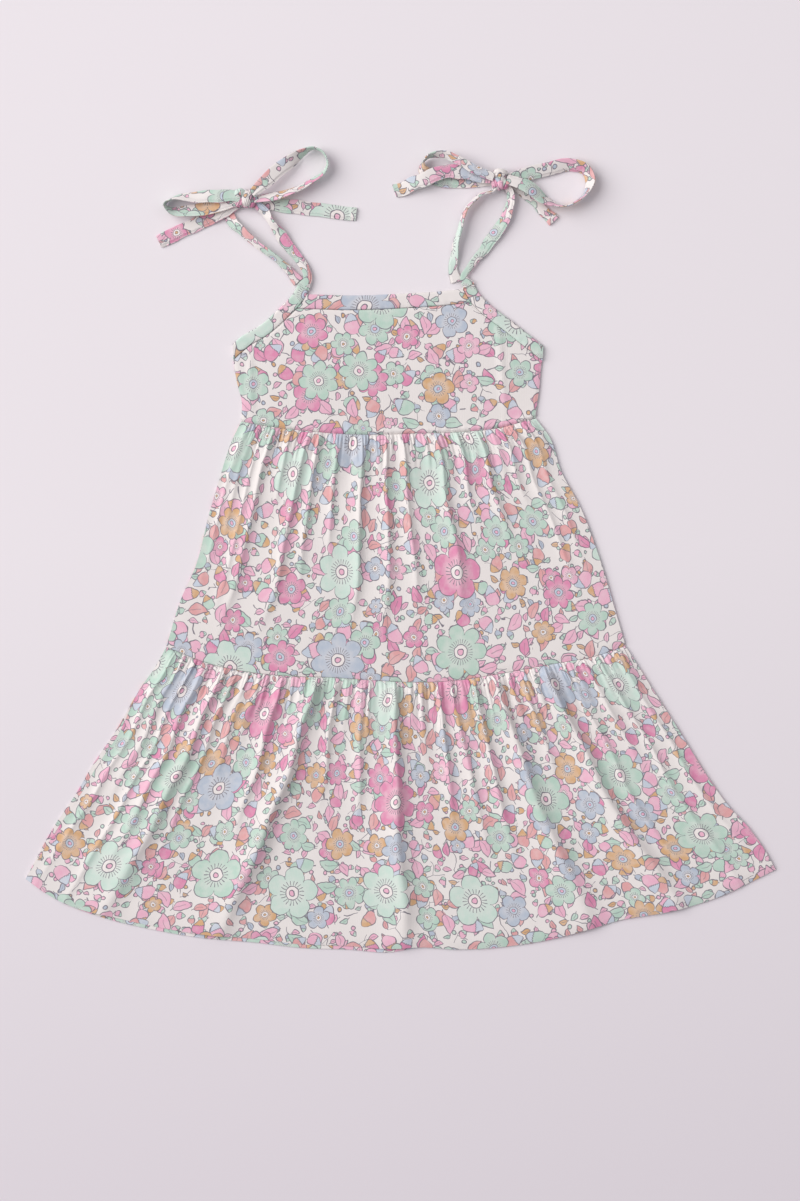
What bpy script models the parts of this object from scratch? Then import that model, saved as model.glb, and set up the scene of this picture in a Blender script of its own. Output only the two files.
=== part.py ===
# Tiered sundress with tied shoulder straps, laid flat on its back panels.
# Metres, +Z up, neck towards +Y. Left and right are as seen from above. Tables are in millimetres.
import math

import bpy
import numpy as np

MM = 0.001

# Cloth, seams and ties
CLOTH = 1.0                 # wall of every panel
SEAM_GAP = 0.3              # between pieces that are sewn together
FRONT_FLOOR = CLOTH + SEAM_GAP   # underside of the front, where it lies on the back
BINDING = 1.8               # a strip folded over an edge
NECK_BINDING_DEPTH = 12.5
ARMHOLE_BINDING_DEPTH = 10.5
ARMHOLE_MITRE = {"left": 0.83, "right": 0.72}   # the strip's end follows the side seam: run per depth
EDGE_DROP = 0.45            # a binding's long edges are this much lower than its middle
STRIP_ROWS = (0.0, 0.14, 0.86, 1.0)
STRIP_PARTS = 12            # lengths that an armhole strip is made of
FINE = 241                  # places read along a line before it is cut to length
TIE_WIDTH = 12.0
TIE_THICK = 1.8
TIE_HEM = 6.0               # length of the turned end of a tail
SEAM_LIFT = 0.30            # share of a gather's height that is left in the seam
EDGE_FADE = 9.0             # gathers flatten over this distance from a side seam
SWELL = 9.0                 # gathers reach their full height this far from the seam
GATHER_HALF = 0.30          # half width of a gather in the seam, as a share of their spacing
GATHER_SPREAD = 0.035       # what it gains for each millimetre that it runs down
FOOT_ZONE = 16.0            # a tier's folds change to their foot height over this last stretch

# Bodice front: a low crown, and short puckers where the waist seam draws it in
CROWN = 1.2
CROWN_EDGE = 26.0
PUCKER = 0.35
PUCKERS = 24
PUCKER_FADE = 9.0
PUCKER_MARGIN = 12.0

# Front neck edge, x and y, left to right
NECK = [(-78.9, 221.0), (-43.9, 220.0), (-6.5, 221.2), (31.8, 223.4), (55.2, 225.8)]
# Outer edges of the armhole strips, x and y, from the neck corner down to the side seam
ARMHOLE_LEFT = [(-89.2, 229.2), (-93.5, 221.4), (-104.2, 210.0), (-123.1, 193.4),
                (-138.2, 184.6), (-145.7, 178.0)]
ARMHOLE_RIGHT = [(63.6, 230.6), (67.6, 223.3), (73.4, 216.6), (99.6, 195.6), (124.0, 176.2)]
# Side seams and cross seams, x and y
BODICE_LEFT = [(-145.7, 178.0), (-144.9, 161.4), (-142.0, 144.0), (-138.0, 128.0), (-138.4, 110.6)]
BODICE_RIGHT = [(124.0, 176.2), (122.2, 157.4), (120.3, 136.6), (118.2, 122.0), (117.4, 113.6)]
WAIST = [(-138.4, 110.6), (-119.6, 107.0), (-85.7, 102.7), (-36.1, 99.2), (12.6, 100.2),
         (59.6, 101.9), (86.6, 105.2), (117.4, 113.6)]
MIDDLE_LEFT = [(-138.4, 110.6), (-146.0, 95.0), (-157.6, 59.6), (-165.7, 32.6), (-179.0, -17.8),
               (-190.0, -42.0), (-203.6, -85.6)]
MIDDLE_RIGHT = [(117.4, 113.6), (129.9, 96.3), (139.5, 67.6), (155.9, 36.9), (173.6, -10.0),
                (186.6, -53.5), (195.6, -84.6)]
TIER_SEAM = [(-203.6, -85.6), (-166.2, -100.1), (-130.9, -107.6), (-97.0, -110.9), (-58.4, -112.2),
             (-26.5, -114.4), (17.7, -116.3), (53.2, -114.2), (81.3, -109.8), (134.9, -100.0),
             (168.3, -94.0), (195.6, -84.6)]
LOWER_LEFT = [(-203.6, -85.6), (-214.5, -105.0), (-225.8, -121.0), (-246.6, -164.0), (-262.5, -187.0),
              (-278.8, -214.9), (-296.2, -240.6), (-326.1, -287.3)]
LOWER_RIGHT = [(195.6, -84.6), (220.1, -123.6), (241.4, -157.0), (268.4, -200.4), (284.5, -222.9),
               (303.8, -243.9), (318.0, -264.4), (326.3, -279.3)]
HEM = [(-326.1, -287.3), (-307.5, -300.5), (-286.7, -311.0), (-249.6, -320.6), (-219.1, -327.6),
       (-171.0, -335.8), (-125.7, -339.6), (-87.4, -344.1), (-43.1, -345.8), (-11.7, -348.2),
       (19.6, -346.9), (50.5, -348.6), (89.2, -346.4), (134.9, -338.9), (167.0, -330.3),
       (191.0, -323.2), (231.0, -316.4), (271.6, -305.0), (326.3, -279.3)]
# How far the back shows past the front: along part of the hem, and along the left side, by row
BACK_HEM_DROP = 3.0
BACK_HEM_SPAN = (-250.0, 10.0)
BACK_SIDE_SHOW = [(0.0, 0.0)] * 3 + [(-3.5, 1.4)] * 4 + [(0.0, 0.0)]

# Main folds of the gathered tiers. at_seam and at_foot are shares of the width from the left edge,
# reach is how far down the fold runs, and half_top and half_foot are half its width.
# at_seam, at_foot, reach, height, half_top, half_foot
MIDDLE_FOLDS = [
    (0.050, 0.050, 120, 1.6, 4.0, 8),
    (0.115, 0.103, 200, 3.0, 4.0, 9),
    (0.175, 0.165, 75, 2.2, 4.0, 7),
    (0.232, 0.184, 195, 3.4, 4.0, 9),
    (0.268, 0.247, 150, 2.6, 3.5, 7),
    (0.335, 0.310, 120, 2.6, 4.0, 8),
    (0.416, 0.391, 190, 3.6, 4.0, 9),
    (0.489, 0.472, 190, 3.2, 4.0, 8),
    (0.545, 0.543, 170, 3.0, 3.5, 8),
    (0.657, 0.650, 170, 3.6, 4.5, 10),
    (0.727, 0.718, 85, 2.6, 4.0, 7),
    (0.790, 0.803, 115, 3.2, 4.0, 8),
    (0.870, 0.880, 80, 2.2, 4.0, 8),
]
LOWER_FOLDS = [
    (0.045, 0.040, 160, 2.2, 4.0, 10),
    (0.092, 0.086, 230, 3.4, 4.0, 10),
    (0.134, 0.110, 300, 5.0, 4.5, 16),
    (0.188, 0.180, 110, 2.4, 4.0, 9),
    (0.260, 0.236, 165, 4.0, 5.0, 13),
    (0.332, 0.262, 300, 6.4, 5.0, 19),
    (0.373, 0.365, 125, 2.6, 3.5, 8),
    (0.428, 0.440, 140, 2.8, 3.5, 9),
    (0.497, 0.503, 300, 5.8, 5.0, 18),
    (0.592, 0.583, 140, 3.2, 3.5, 9),
    (0.617, 0.645, 170, 2.6, 3.5, 11),
    (0.666, 0.672, 175, 3.6, 4.0, 11),
    (0.712, 0.748, 300, 5.0, 5.0, 19),
    (0.768, 0.780, 110, 2.6, 4.0, 9),
    (0.816, 0.864, 300, 5.2, 5.0, 16),
    (0.905, 0.915, 120, 2.2, 4.0, 10),
]
# count, seed, height, longest reach of the small gathers between the folds
MIDDLE_GATHERS = dict(count=27, seed=4, height=2.0, reach=60.0)
LOWER_GATHERS = dict(count=37, seed=9, height=2.2, reach=75.0)

# Knots of the two bows: centre x, y, z and half sizes. A crease runs across each, on a slant.
KNOT_CREASE = dict(depth=0.10, slope=0.45, start=0.25, half=0.16)
KNOTS = {
    "left": ((-133.8, 303.6, 6.2), (6.4, 8.6, 6.0)),
    "right": ((86.4, 320.4, 6.4), (7.4, 9.4, 6.2)),
}

# Ties. Each row is a place on the strip's middle line: x, y, z and tilt in degrees, where 0 lies
# flat and 90 stands on its edge. A strip that starts at a knot's middle is cut where it comes clear,
# and a strip never goes lower than the surface it lies on, so z counts only where something is under it.
TIES = {
    "front_strand_left": [(-133.8, 303.6, 3.4, 0), (-126.0, 300.0, 3.4, 4), (-119.0, 293.6, 3.6, 14),
                          (-113.0, 285.0, 0.0, 50), (-106.0, 275.4, 0.0, 22), (-98.0, 263.6, 0.0, 8),
                          (-88.6, 252.6, 1.6, 4), (-82.2, 242.8, 3.1, 0), (-81.0, 234.6, 3.4, 0)],
    "back_strand_left": [(-133.8, 303.6, 0.0, 0), (-143.4, 298.6, 0.0, 0), (-148.8, 292.4, 0.0, 0),
                         (-147.2, 285.6, 0.0, 10), (-140.2, 277.8, 0.0, 36), (-130.8, 269.4, 0.0, 46),
                         (-119.8, 260.6, 0.0, 50), (-108.0, 251.6, 0.0, 54), (-98.4, 243.0, 0.0, 24),
                         (-92.8, 237.0, 0.0, 4), (-88.6, 232.0, 0.0, 0)],
    "front_strand_right": [(86.4, 320.4, 2.0, 30), (94.6, 311.0, 2.0, 35), (95.8, 302.5, 2.0, 36),
                           (92.6, 290.5, 0.0, 24), (83.0, 274.0, 0.0, 14), (71.0, 257.8, 2.0, 6),
                           (60.4, 244.4, 3.2, 0), (55.4, 235.6, 3.2, 0)],
    "back_strand_right": [(86.4, 320.4, 0.0, 56), (79.0, 310.4, 0.0, 60), (70.4, 307.4, 0.0, 64),
                          (61.0, 300.4, 0.0, 66), (53.4, 285.0, 0.0, 62), (48.6, 266.0, 0.0, 48),
                          (46.2, 251.6, 0.0, 20), (46.2, 240.0, 0.0, 2), (48.6, 232.0, 0.0, 0)],
    "bow_loop_outer_left": [(-133.8, 303.6, 9.0, 6), (-145.0, 305.6, 9.1, 8), (-162.0, 305.4, 9.0, 14),
                            (-181.0, 304.6, 8.0, 40), (-198.6, 303.2, 6.6, 78), (-204.6, 298.4, 6.4, 98),
                            (-199.4, 293.4, 6.0, 122), (-184.0, 293.2, 5.6, 150), (-166.0, 296.0, 5.8, 164),
                            (-150.0, 299.8, 6.3, 172), (-133.8, 303.0, 6.3, 174)],
    "bow_loop_inner_left": [(-133.8, 303.6, 10.0, 4), (-122.8, 312.6, 10.0, 4), (-113.0, 321.6, 9.6, 6),
                            (-104.2, 329.6, 8.8, 10), (-94.6, 336.8, 7.8, 26), (-85.0, 343.0, 6.8, 58),
                            (-75.4, 347.4, 6.4, 86), (-66.6, 343.4, 6.4, 90), (-63.6, 333.6, 6.2, 82),
                            (-68.0, 325.4, 6.0, 66), (-81.0, 317.0, 6.0, 60), (-95.6, 309.6, 6.8, 52),
                            (-112.0, 305.2, 6.8, 34), (-133.8, 302.6, 6.2, 20)],
    "bow_tail_outer_left": [(-133.8, 303.6, 3.5, 0), (-146.6, 297.2, 3.5, 0), (-157.4, 291.6, 3.3, 0),
                            (-172.0, 284.6, 0.0, 0), (-192.0, 275.4, 0.0, 0), (-210.2, 266.8, 0.0, 0)],
    "bow_tail_inner_left": [(-133.8, 300.6, 0.0, 0), (-120.0, 300.8, 0.0, 0), (-100.0, 298.2, 0.0, 0),
                            (-76.0, 295.4, 0.0, 0), (-55.0, 292.4, 0.0, 0), (-38.6, 290.4, 0.0, 0)],
    "bow_loop_outer_right": [(86.4, 320.4, 10.2, 0), (74.0, 324.2, 10.4, -4), (62.0, 330.0, 10.6, -10),
                             (48.6, 337.4, 10.6, -20), (34.6, 341.6, 8.4, -48), (24.4, 339.6, 6.6, -76),
                             (19.6, 334.4, 6.4, -102), (20.6, 329.4, 4.4, -142), (25.6, 324.4, 0.0, -174),
                             (34.0, 320.6, 0.0, -180), (52.0, 319.4, 0.0, -180), (68.0, 319.8, 0.0, -180),
                             (86.4, 320.4, 0.0, -180)],
    "bow_loop_inner_right": [(86.4, 320.4, 5.6, 8), (100.0, 322.8, 5.4, 12), (114.0, 326.4, 4.6, 10),
                             (132.0, 330.6, 4.0, 18), (148.0, 333.4, 4.6, 34), (160.6, 329.0, 5.4, 46),
                             (165.0, 319.6, 5.6, 50), (161.0, 308.6, 6.4, 72), (150.0, 299.6, 6.9, 86),
                             (139.0, 297.4, 6.8, 80), (128.0, 300.6, 6.6, 52), (114.0, 311.4, 8.6, 22),
                             (100.0, 318.0, 9.6, 10), (86.4, 321.0, 9.6, 4)],
    "bow_tail_outer_right": [(86.4, 320.4, 5.8, 0), (73.4, 322.0, 5.8, 0), (58.6, 326.0, 6.0, 0),
                             (42.0, 327.4, 6.6, 0), (29.0, 324.0, 8.0, 0), (20.6, 320.2, 8.0, 0),
                             (11.0, 316.4, 5.4, 0), (3.4, 313.6, 2.4, 0), (-5.2, 310.6, 0.0, 0)],
    "bow_tail_inner_right": [(86.4, 320.4, 0.0, 0), (99.0, 315.8, 0.0, 0), (109.0, 308.8, 0.0, 0),
                             (121.0, 297.6, 0.0, 0), (133.4, 284.6, 0.0, 0)],
}
STATION = 4.6               # spacing of a tie's sections
TAIL_HEM_THICK = 2.4
FLOOR_GAP = 0.1
KNOT_CLEAR = 0.05           # a tie stops this share of a knot's size outside it
# Corners of a tie's cross-section, as shares of its half width and half thickness
TIE_SECTION = [(1.0, 0.0), (0.82, 1.0), (-0.82, 1.0), (-1.0, 0.0), (-0.82, -1.0), (0.82, -1.0)]
FULL_WIDTH = [(a / 4, b) for a in range(-4, 5) for b in (-1, 1)]   # where a tie is tested for the knot

# Base colours, roughness
MATERIALS = {
    "printed_jersey": ((0.80, 0.76, 0.74), 0.85),
    "binding_jersey": ((0.80, 0.72, 0.72), 0.85),
}


def clear_scene():
    for old in list(bpy.data.objects):
        bpy.data.objects.remove(old, do_unlink=True)


def material(name, kind):
    """A cloth material of its own for one piece."""
    colour, roughness = MATERIALS[kind]
    made = bpy.data.materials.new(name)
    made.use_nodes = True
    shader = made.node_tree.nodes["Principled BSDF"]
    shader.inputs["Base Color"].default_value = (*colour, 1.0)
    shader.inputs["Roughness"].default_value = roughness
    shader.inputs["Metallic"].default_value = 0.0
    made.diffuse_color = (*colour, 1.0)
    return made


def piece(name, points, faces, kind):
    """One named solid, from points in millimetres."""
    mesh = bpy.data.meshes.new(name)
    mesh.from_pydata((np.asarray(points) * MM).tolist(), [], faces)
    mesh.materials.append(material(name, kind))
    mesh.shade_smooth()
    mesh.set_sharp_from_angle(angle=math.radians(50))
    bpy.context.scene.collection.objects.link(bpy.data.objects.new(name, mesh))


def curve(rows, share):
    """A smooth line through the rows, read at shares of its length from 0 to 1."""
    rows = np.array(rows, float)
    share = np.asarray(share, float)
    steps = np.linalg.norm(np.diff(rows[:, :2], axis=0), axis=1)
    knots = np.concatenate([[0.0], np.cumsum(steps)]) / steps.sum()
    slopes = np.gradient(rows, knots, axis=0)
    at = np.clip(np.searchsorted(knots, share, side="right") - 1, 0, len(knots) - 2)
    span = (knots[at + 1] - knots[at])[..., None]
    t = ((share - knots[at])[..., None]) / span
    return ((2 * t**3 - 3 * t**2 + 1) * rows[at] + (t**3 - 2 * t**2 + t) * span * slopes[at]
            + (3 * t**2 - 2 * t**3) * rows[at + 1] + (t**3 - t**2) * span * slopes[at + 1])


def inset(line, distance):
    """The line moved to its left-hand side, as seen along it."""
    along = np.gradient(line, axis=0)
    along /= np.linalg.norm(along, axis=1, keepdims=True)
    return line + distance * np.stack([-along[:, 1], along[:, 0]], axis=1)


def fill(top, bottom, left, right, across, down):
    """A sheet between four lines that share their corners (Coons patch), in rows from top to bottom.
    Across and down give the share that each column and row stands for."""
    across, down = across[None, :, None], down[:, None, None]
    ruled = (1 - down) * top[None] + down * bottom[None]
    sides = (1 - across) * left[:, None] + across * right[:, None]
    corners = ((1 - down) * ((1 - across) * top[0] + across * top[-1])
               + down * ((1 - across) * bottom[0] + across * bottom[-1]))
    return ruled + sides - corners


def smooth_step(value, low, high):
    t = np.clip((value - low) / (high - low), 0, 1)
    return t * t * (3 - 2 * t)


def sandwich(name, upper, lower, kind):
    """A closed solid between two grids of points, the upper one seen from above with rows running
    down the page."""
    rows, columns = upper.shape[:2]
    index = np.arange(rows * columns).reshape(rows, columns)
    under = index + rows * columns
    faces = []
    for sheet, order in ((index, (0, 1, 2, 3)), (under, (3, 2, 1, 0))):
        corners = [sheet[:-1, :-1], sheet[1:, :-1], sheet[1:, 1:], sheet[:-1, 1:]]
        faces += np.stack([corners[i] for i in order], axis=2).reshape(-1, 4).tolist()
    rim = np.concatenate([index[:-1, 0], index[-1, :-1], index[:0:-1, -1], index[0, :0:-1]])
    for start, end in zip(rim, np.roll(rim, -1)):
        faces.append([int(end), int(start), int(start) + rows * columns, int(end) + rows * columns])
    piece(name, np.concatenate([upper.reshape(-1, 3), lower.reshape(-1, 3)]), faces, kind)


def wall(name, plan, top_height, thickness, kind="printed_jersey"):
    """A cloth wall: its upper side at top_height over the plan grid, its lower side moved in along
    the cloth's own normal."""
    upper = np.dstack([plan, top_height])
    down = np.gradient(upper, axis=0)
    across = np.gradient(upper, axis=1)
    normal = np.cross(down, across)
    normal /= np.linalg.norm(normal, axis=2, keepdims=True)
    lower = upper - normal * np.asarray(thickness)[..., None]
    sandwich(name, upper, lower, kind)


def crests(count, seed, **_):
    """Where the gathers sit in the seam, unevenly spaced."""
    rng = np.random.default_rng(seed)
    return (np.arange(count) + 0.5 + rng.uniform(-0.26, 0.26, count)) / count


def columns_of(places):
    """Four columns for each gather: its valley, both flanks and its crest."""
    valleys = np.concatenate([[0.0], (places[1:] + places[:-1]) / 2, [1.0]])
    left_flanks = (valleys[:-1] + places) / 2
    right_flanks = (places + valleys[1:]) / 2
    inner = np.stack([valleys[:-1], left_flanks, places, right_flanks], axis=1).reshape(-1)
    return np.append(inner, 1.0)


def gathered_relief(across, depth, width, places, gathers, folds, foot_share):
    """Height of the cloth over its lowest level: one soft ridge for each small gather and each fold.
    A ridge swells below the seam, widens as it runs down and dies away towards its reach."""
    rng = np.random.default_rng(gathers["seed"] + 1)
    down = depth / depth[-1]
    swell = SEAM_LIFT + (1 - SEAM_LIFT) * smooth_step(depth, 0, SWELL)
    spacing = 1 / len(places)
    near = np.min(np.abs(places[:, None] - np.array([row[0] for row in folds])), axis=1)
    height = np.zeros((len(depth), len(across)))
    for place, gap in zip(places, near):
        reach = gathers["reach"] * rng.uniform(0.35, 1.0)
        size = gathers["height"] * rng.uniform(0.6, 1.15) * (0.4 if gap < spacing * 0.5 else 1.0)
        half = GATHER_HALF * spacing * width[0] + GATHER_SPREAD * depth
        offset = (across[None] - place) * width[:, None] / half[:, None]
        fade = 1 - smooth_step(depth, 0.25 * reach, reach)
        height += size * (swell * fade)[:, None] * np.exp(-offset**2)
    for at_seam, at_foot, reach, size, half_top, half_foot in folds:
        centre = at_seam + (at_foot - at_seam) * down
        half = half_top + (half_foot - half_top) * down
        offset = (across[None] - centre[:, None]) * width[:, None] / half[:, None]
        fade = 1 - smooth_step(depth, 0.5 * reach, reach)
        height += size * (swell * fade)[:, None] * np.exp(-offset**2)
    side = np.minimum(across, 1 - across)[None] * width[:, None]
    ends = 1 - np.exp(-(side / EDGE_FADE) ** 2)
    foot = 1 - (1 - foot_share) * smooth_step(depth, depth[-1] - FOOT_ZONE, depth[-1])
    return height * ends * foot[:, None]


def tier_outline(top, bottom, left, right, across, down):
    """Plan grid of a tier between its four seams."""
    return fill(curve(top, across), curve(bottom, across), curve(left, down), curve(right, down),
                across, down)


def shifted(rows, x=0.0, y=0.0):
    return [(row[0] + x, row[1] + y) for row in rows]


def tiers():
    """The two gathered tiers, each with a front and a back."""
    seams = [("middle_tier", WAIST, TIER_SEAM, MIDDLE_LEFT, MIDDLE_RIGHT, MIDDLE_GATHERS,
              MIDDLE_FOLDS, 0.35, [0, 4, 12, 32, 66, 110, 165]),
             ("lower_tier", TIER_SEAM, HEM, LOWER_LEFT, LOWER_RIGHT, LOWER_GATHERS,
              LOWER_FOLDS, 1.0, [0, 4, 12, 32, 68, 115, 170])]
    for name, top, foot, left, right, gathers, folds, foot_share, stations in seams:
        top = shifted(top, y=-SEAM_GAP / 2)
        if name == "middle_tier":
            foot = shifted(foot, y=SEAM_GAP / 2)
        left, right = share_corners(left, top, foot, 0), share_corners(right, top, foot, -1)
        length = np.linalg.norm(np.diff(np.array(left), axis=0), axis=1).sum()
        down = np.append(np.array(stations) / length, 1.0)
        places = crests(**gathers)
        across = columns_of(places)
        plan = tier_outline(top, foot, left, right, across, down)
        width = np.linalg.norm(plan[:, -1] - plan[:, 0], axis=1)
        relief = gathered_relief(across, down * length, width, places, gathers, folds, foot_share)
        wall(name + "_front", plan, FRONT_FLOOR + CLOTH + relief, np.full(relief.shape, CLOTH))
        back_panel(name + "_back", top, foot, left, right)


def share_corners(side, top, foot, end):
    """A side seam whose ends are the ends of the seams above and below it."""
    return [tuple(top[end])] + list(side[1:-1]) + [tuple(foot[end])]


def back_panel(name, top, foot, left, right):
    """The hidden half of a tier: flat, on the surface the dress lies on."""
    across = np.linspace(0, 1, 25)
    down = np.linspace(0, 1, 4)
    if name.startswith("lower"):
        low, high = BACK_HEM_SPAN
        foot = [(x, y - BACK_HEM_DROP * (low < x < high)) for x, y in foot]
        left = [(x + out, y + up) for (x, y), (out, up) in zip(left, BACK_SIDE_SHOW)]
    plan = tier_outline(top, foot, left, right, across, down)
    wall(name, plan, np.full(plan.shape[:2], CLOTH), np.full(plan.shape[:2], CLOTH))


def armhole_line(hand, distance):
    """An armhole's outer edge moved in by distance, its lower end on the side seam."""
    rows, turn = (ARMHOLE_LEFT, 1) if hand == "left" else (ARMHOLE_RIGHT, -1)
    line = inset(curve(rows, np.linspace(0, 1, FINE)), turn * distance)
    along = line[-1] - line[-2]
    line[-1] += along / np.linalg.norm(along) * distance * ARMHOLE_MITRE[hand]
    return line


def bodice_lines():
    """Outline of the bodice inside its bindings: the neck line, the sides as armhole and side seam."""
    neck = curve(NECK, np.linspace(0, 1, FINE))
    low_neck = np.stack([neck[:, 0], neck[:, 1] - NECK_BINDING_DEPTH - SEAM_GAP], axis=1)
    sides = []
    for hand, seam in (("left", BODICE_LEFT), ("right", BODICE_RIGHT)):
        inner = armhole_line(hand, ARMHOLE_BINDING_DEPTH + SEAM_GAP)
        level = np.interp(inner[:, 0], low_neck[:, 0], low_neck[:, 1])
        inner = inner[inner[:, 1] < level]
        seam_line = curve(seam, np.linspace(0, 1, FINE))
        corner = np.argmin(np.linalg.norm(seam_line - inner[-1], axis=1))
        sides.append((inner, seam_line[corner + 2:]))
    return low_neck, sides


def resample(line, shares):
    steps = np.concatenate([[0], np.cumsum(np.linalg.norm(np.diff(line, axis=0), axis=1))])
    wanted = np.asarray(shares) * steps[-1]
    return np.stack([np.interp(wanted, steps, line[:, 0]), np.interp(wanted, steps, line[:, 1])], axis=1)


def bodice():
    """Front and back bodice, smooth but for short puckers at the waist seam."""
    low_neck, sides = bodice_lines()
    upper_rows, lower_rows = 7, 5
    edges = []
    for inner, seam in sides:
        upper = resample(inner, np.linspace(0, 1, upper_rows))
        lower = resample(seam, np.linspace(0, 1, lower_rows + 1))
        edges.append(np.concatenate([upper, lower]))
    across = np.linspace(0, 1, 28)
    first, last = edges[0][0], edges[1][0]
    neck_x = first[0] + (last[0] - first[0]) * across
    top = np.stack([neck_x, np.interp(neck_x, low_neck[:, 0], low_neck[:, 1])], axis=1)
    top[0], top[-1] = first, last
    bottom = curve(shifted(WAIST, y=SEAM_GAP / 2), across)
    for edge, end in zip(edges, (0, -1)):
        edge[-1] = bottom[end]
    depth = np.concatenate([[0], np.cumsum(np.linalg.norm(np.diff(edges[0], axis=0), axis=1))])
    down = depth / depth[-1]
    plan = fill(top, bottom, edges[0], edges[1], across, down)
    width = np.linalg.norm(plan[:, -1] - plan[:, 0], axis=1)
    side = np.minimum(across, 1 - across)[None] * width[:, None]
    arch = np.sin(np.pi * np.clip(down, 0.06, 0.94))[:, None]
    crown = CROWN * (1 - np.exp(-(side / CROWN_EDGE) ** 2)) * arch
    waves = np.sin(across * np.pi * PUCKERS)[None] ** 2
    pucker = PUCKER * waves * np.exp(-(depth[-1] - depth) / PUCKER_FADE)[:, None]
    height = FRONT_FLOOR + CLOTH + crown + pucker * (side > PUCKER_MARGIN)
    wall("bodice_front", plan, height, np.full(height.shape, CLOTH))
    flat = np.full(height[:, ::3].shape, CLOTH)
    wall("bodice_back", plan[:, ::3], flat, flat)


def strip(name, plan, base, thick):
    """A flat binding over a plan grid of four rows, its two long edges a little lower."""
    drop = np.array([EDGE_DROP, 0.0, 0.0, EDGE_DROP])[:, None] * (thick > CLOTH)
    height = np.full(plan.shape[:2], base + thick) - drop
    sandwich(name, np.dstack([plan, height]), np.dstack([plan, np.full(height.shape, base)]),
             "binding_jersey")


def bindings():
    """Strips along the neck and the armholes, on the front and on the back."""
    across = np.linspace(0, 1, 17)
    for half, base, thick in (("front", FRONT_FLOOR, BINDING), ("back", 0.0, CLOTH)):
        inner_lines = []
        for hand, turn in (("left", -1), ("right", 1)):
            inner_lines.append(armhole_line(hand, ARMHOLE_BINDING_DEPTH + 2 * SEAM_GAP))
            lines = [armhole_line(hand, ARMHOLE_BINDING_DEPTH * share) for share in STRIP_ROWS]
            plan = np.stack(lines)[:, ::FINE // STRIP_PARTS]
            strip("armhole_binding_%s_%s" % (half, hand), plan[:, ::turn], base, thick)
        rows = [neck_between(inner_lines, across, NECK_BINDING_DEPTH * share) for share in STRIP_ROWS]
        strip("neck_binding_" + half, np.stack(rows), base, thick)


def neck_between(inner_lines, across, drop):
    """The neck line, lowered by drop, from one armhole strip to the other."""
    neck = curve(NECK, np.linspace(0, 1, FINE))
    ends = []
    for line in inner_lines:
        level = np.interp(line[:, 0], neck[:, 0], neck[:, 1]) - drop
        ends.append(line[np.argmin(np.abs(line[:, 1] - level)), 0])
    x = ends[0] + (ends[1] - ends[0]) * across
    return np.stack([x, np.interp(x, neck[:, 0], neck[:, 1]) - drop], axis=1)


def knot_level(points, hand):
    """1 on the surface of a knot, more outside it. A knot is a rounded block."""
    centre, half = KNOTS[hand]
    ratio = np.abs((points - np.array(centre)) / np.array(half))
    return (ratio**3).sum(axis=-1) ** (1 / 3)


def knot(hand):
    """The wound middle of a bow: a rounded block with a slanted crease where the strip crosses."""
    centre, half = KNOTS[hand]
    turns, rings = 16, 7
    angle = np.linspace(0, 2 * np.pi, turns, endpoint=False)
    slope = np.linspace(0, np.pi, rings + 2)[1:-1]
    x = np.cos(slope)[:, None] * np.ones(turns)
    y = np.sin(slope)[:, None] * np.cos(angle)
    z = np.sin(slope)[:, None] * np.sin(angle)
    ball = np.stack([x, y, z], axis=2)
    size = (np.abs(ball) ** 3).sum(axis=2) ** (1 / 3)
    off_crease = (x - KNOT_CREASE["slope"] * y - KNOT_CREASE["start"]) / KNOT_CREASE["half"]
    crease = 1 - KNOT_CREASE["depth"] * np.exp(-off_crease**2)
    grid = ball / size[..., None] * crease[..., None] * np.array(half) + np.array(centre)
    points = np.concatenate([grid.reshape(-1, 3),
                             [[centre[0] + half[0], centre[1], centre[2]]],
                             [[centre[0] - half[0], centre[1], centre[2]]]])
    index = np.arange(turns * rings).reshape(rings, turns)
    after = np.roll(index, -1, axis=1)
    faces = np.stack([index[:-1], index[1:], after[1:], after[:-1]], axis=2).reshape(-1, 4).tolist()
    front, rear = turns * rings, turns * rings + 1
    faces += [[front, int(a), int(b)] for a, b in zip(index[0], after[0])]
    faces += [[rear, int(b), int(a)] for a, b in zip(index[-1], after[-1])]
    piece("bow_knot_" + hand, points, faces, "binding_jersey")


def neck_corner(hand):
    """Middle of the end of an armhole strip at the neck, and the direction it points in."""
    line = armhole_line(hand, ARMHOLE_BINDING_DEPTH / 2)
    out = line[0] - line[1]
    return line[0], out / np.linalg.norm(out)


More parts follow.
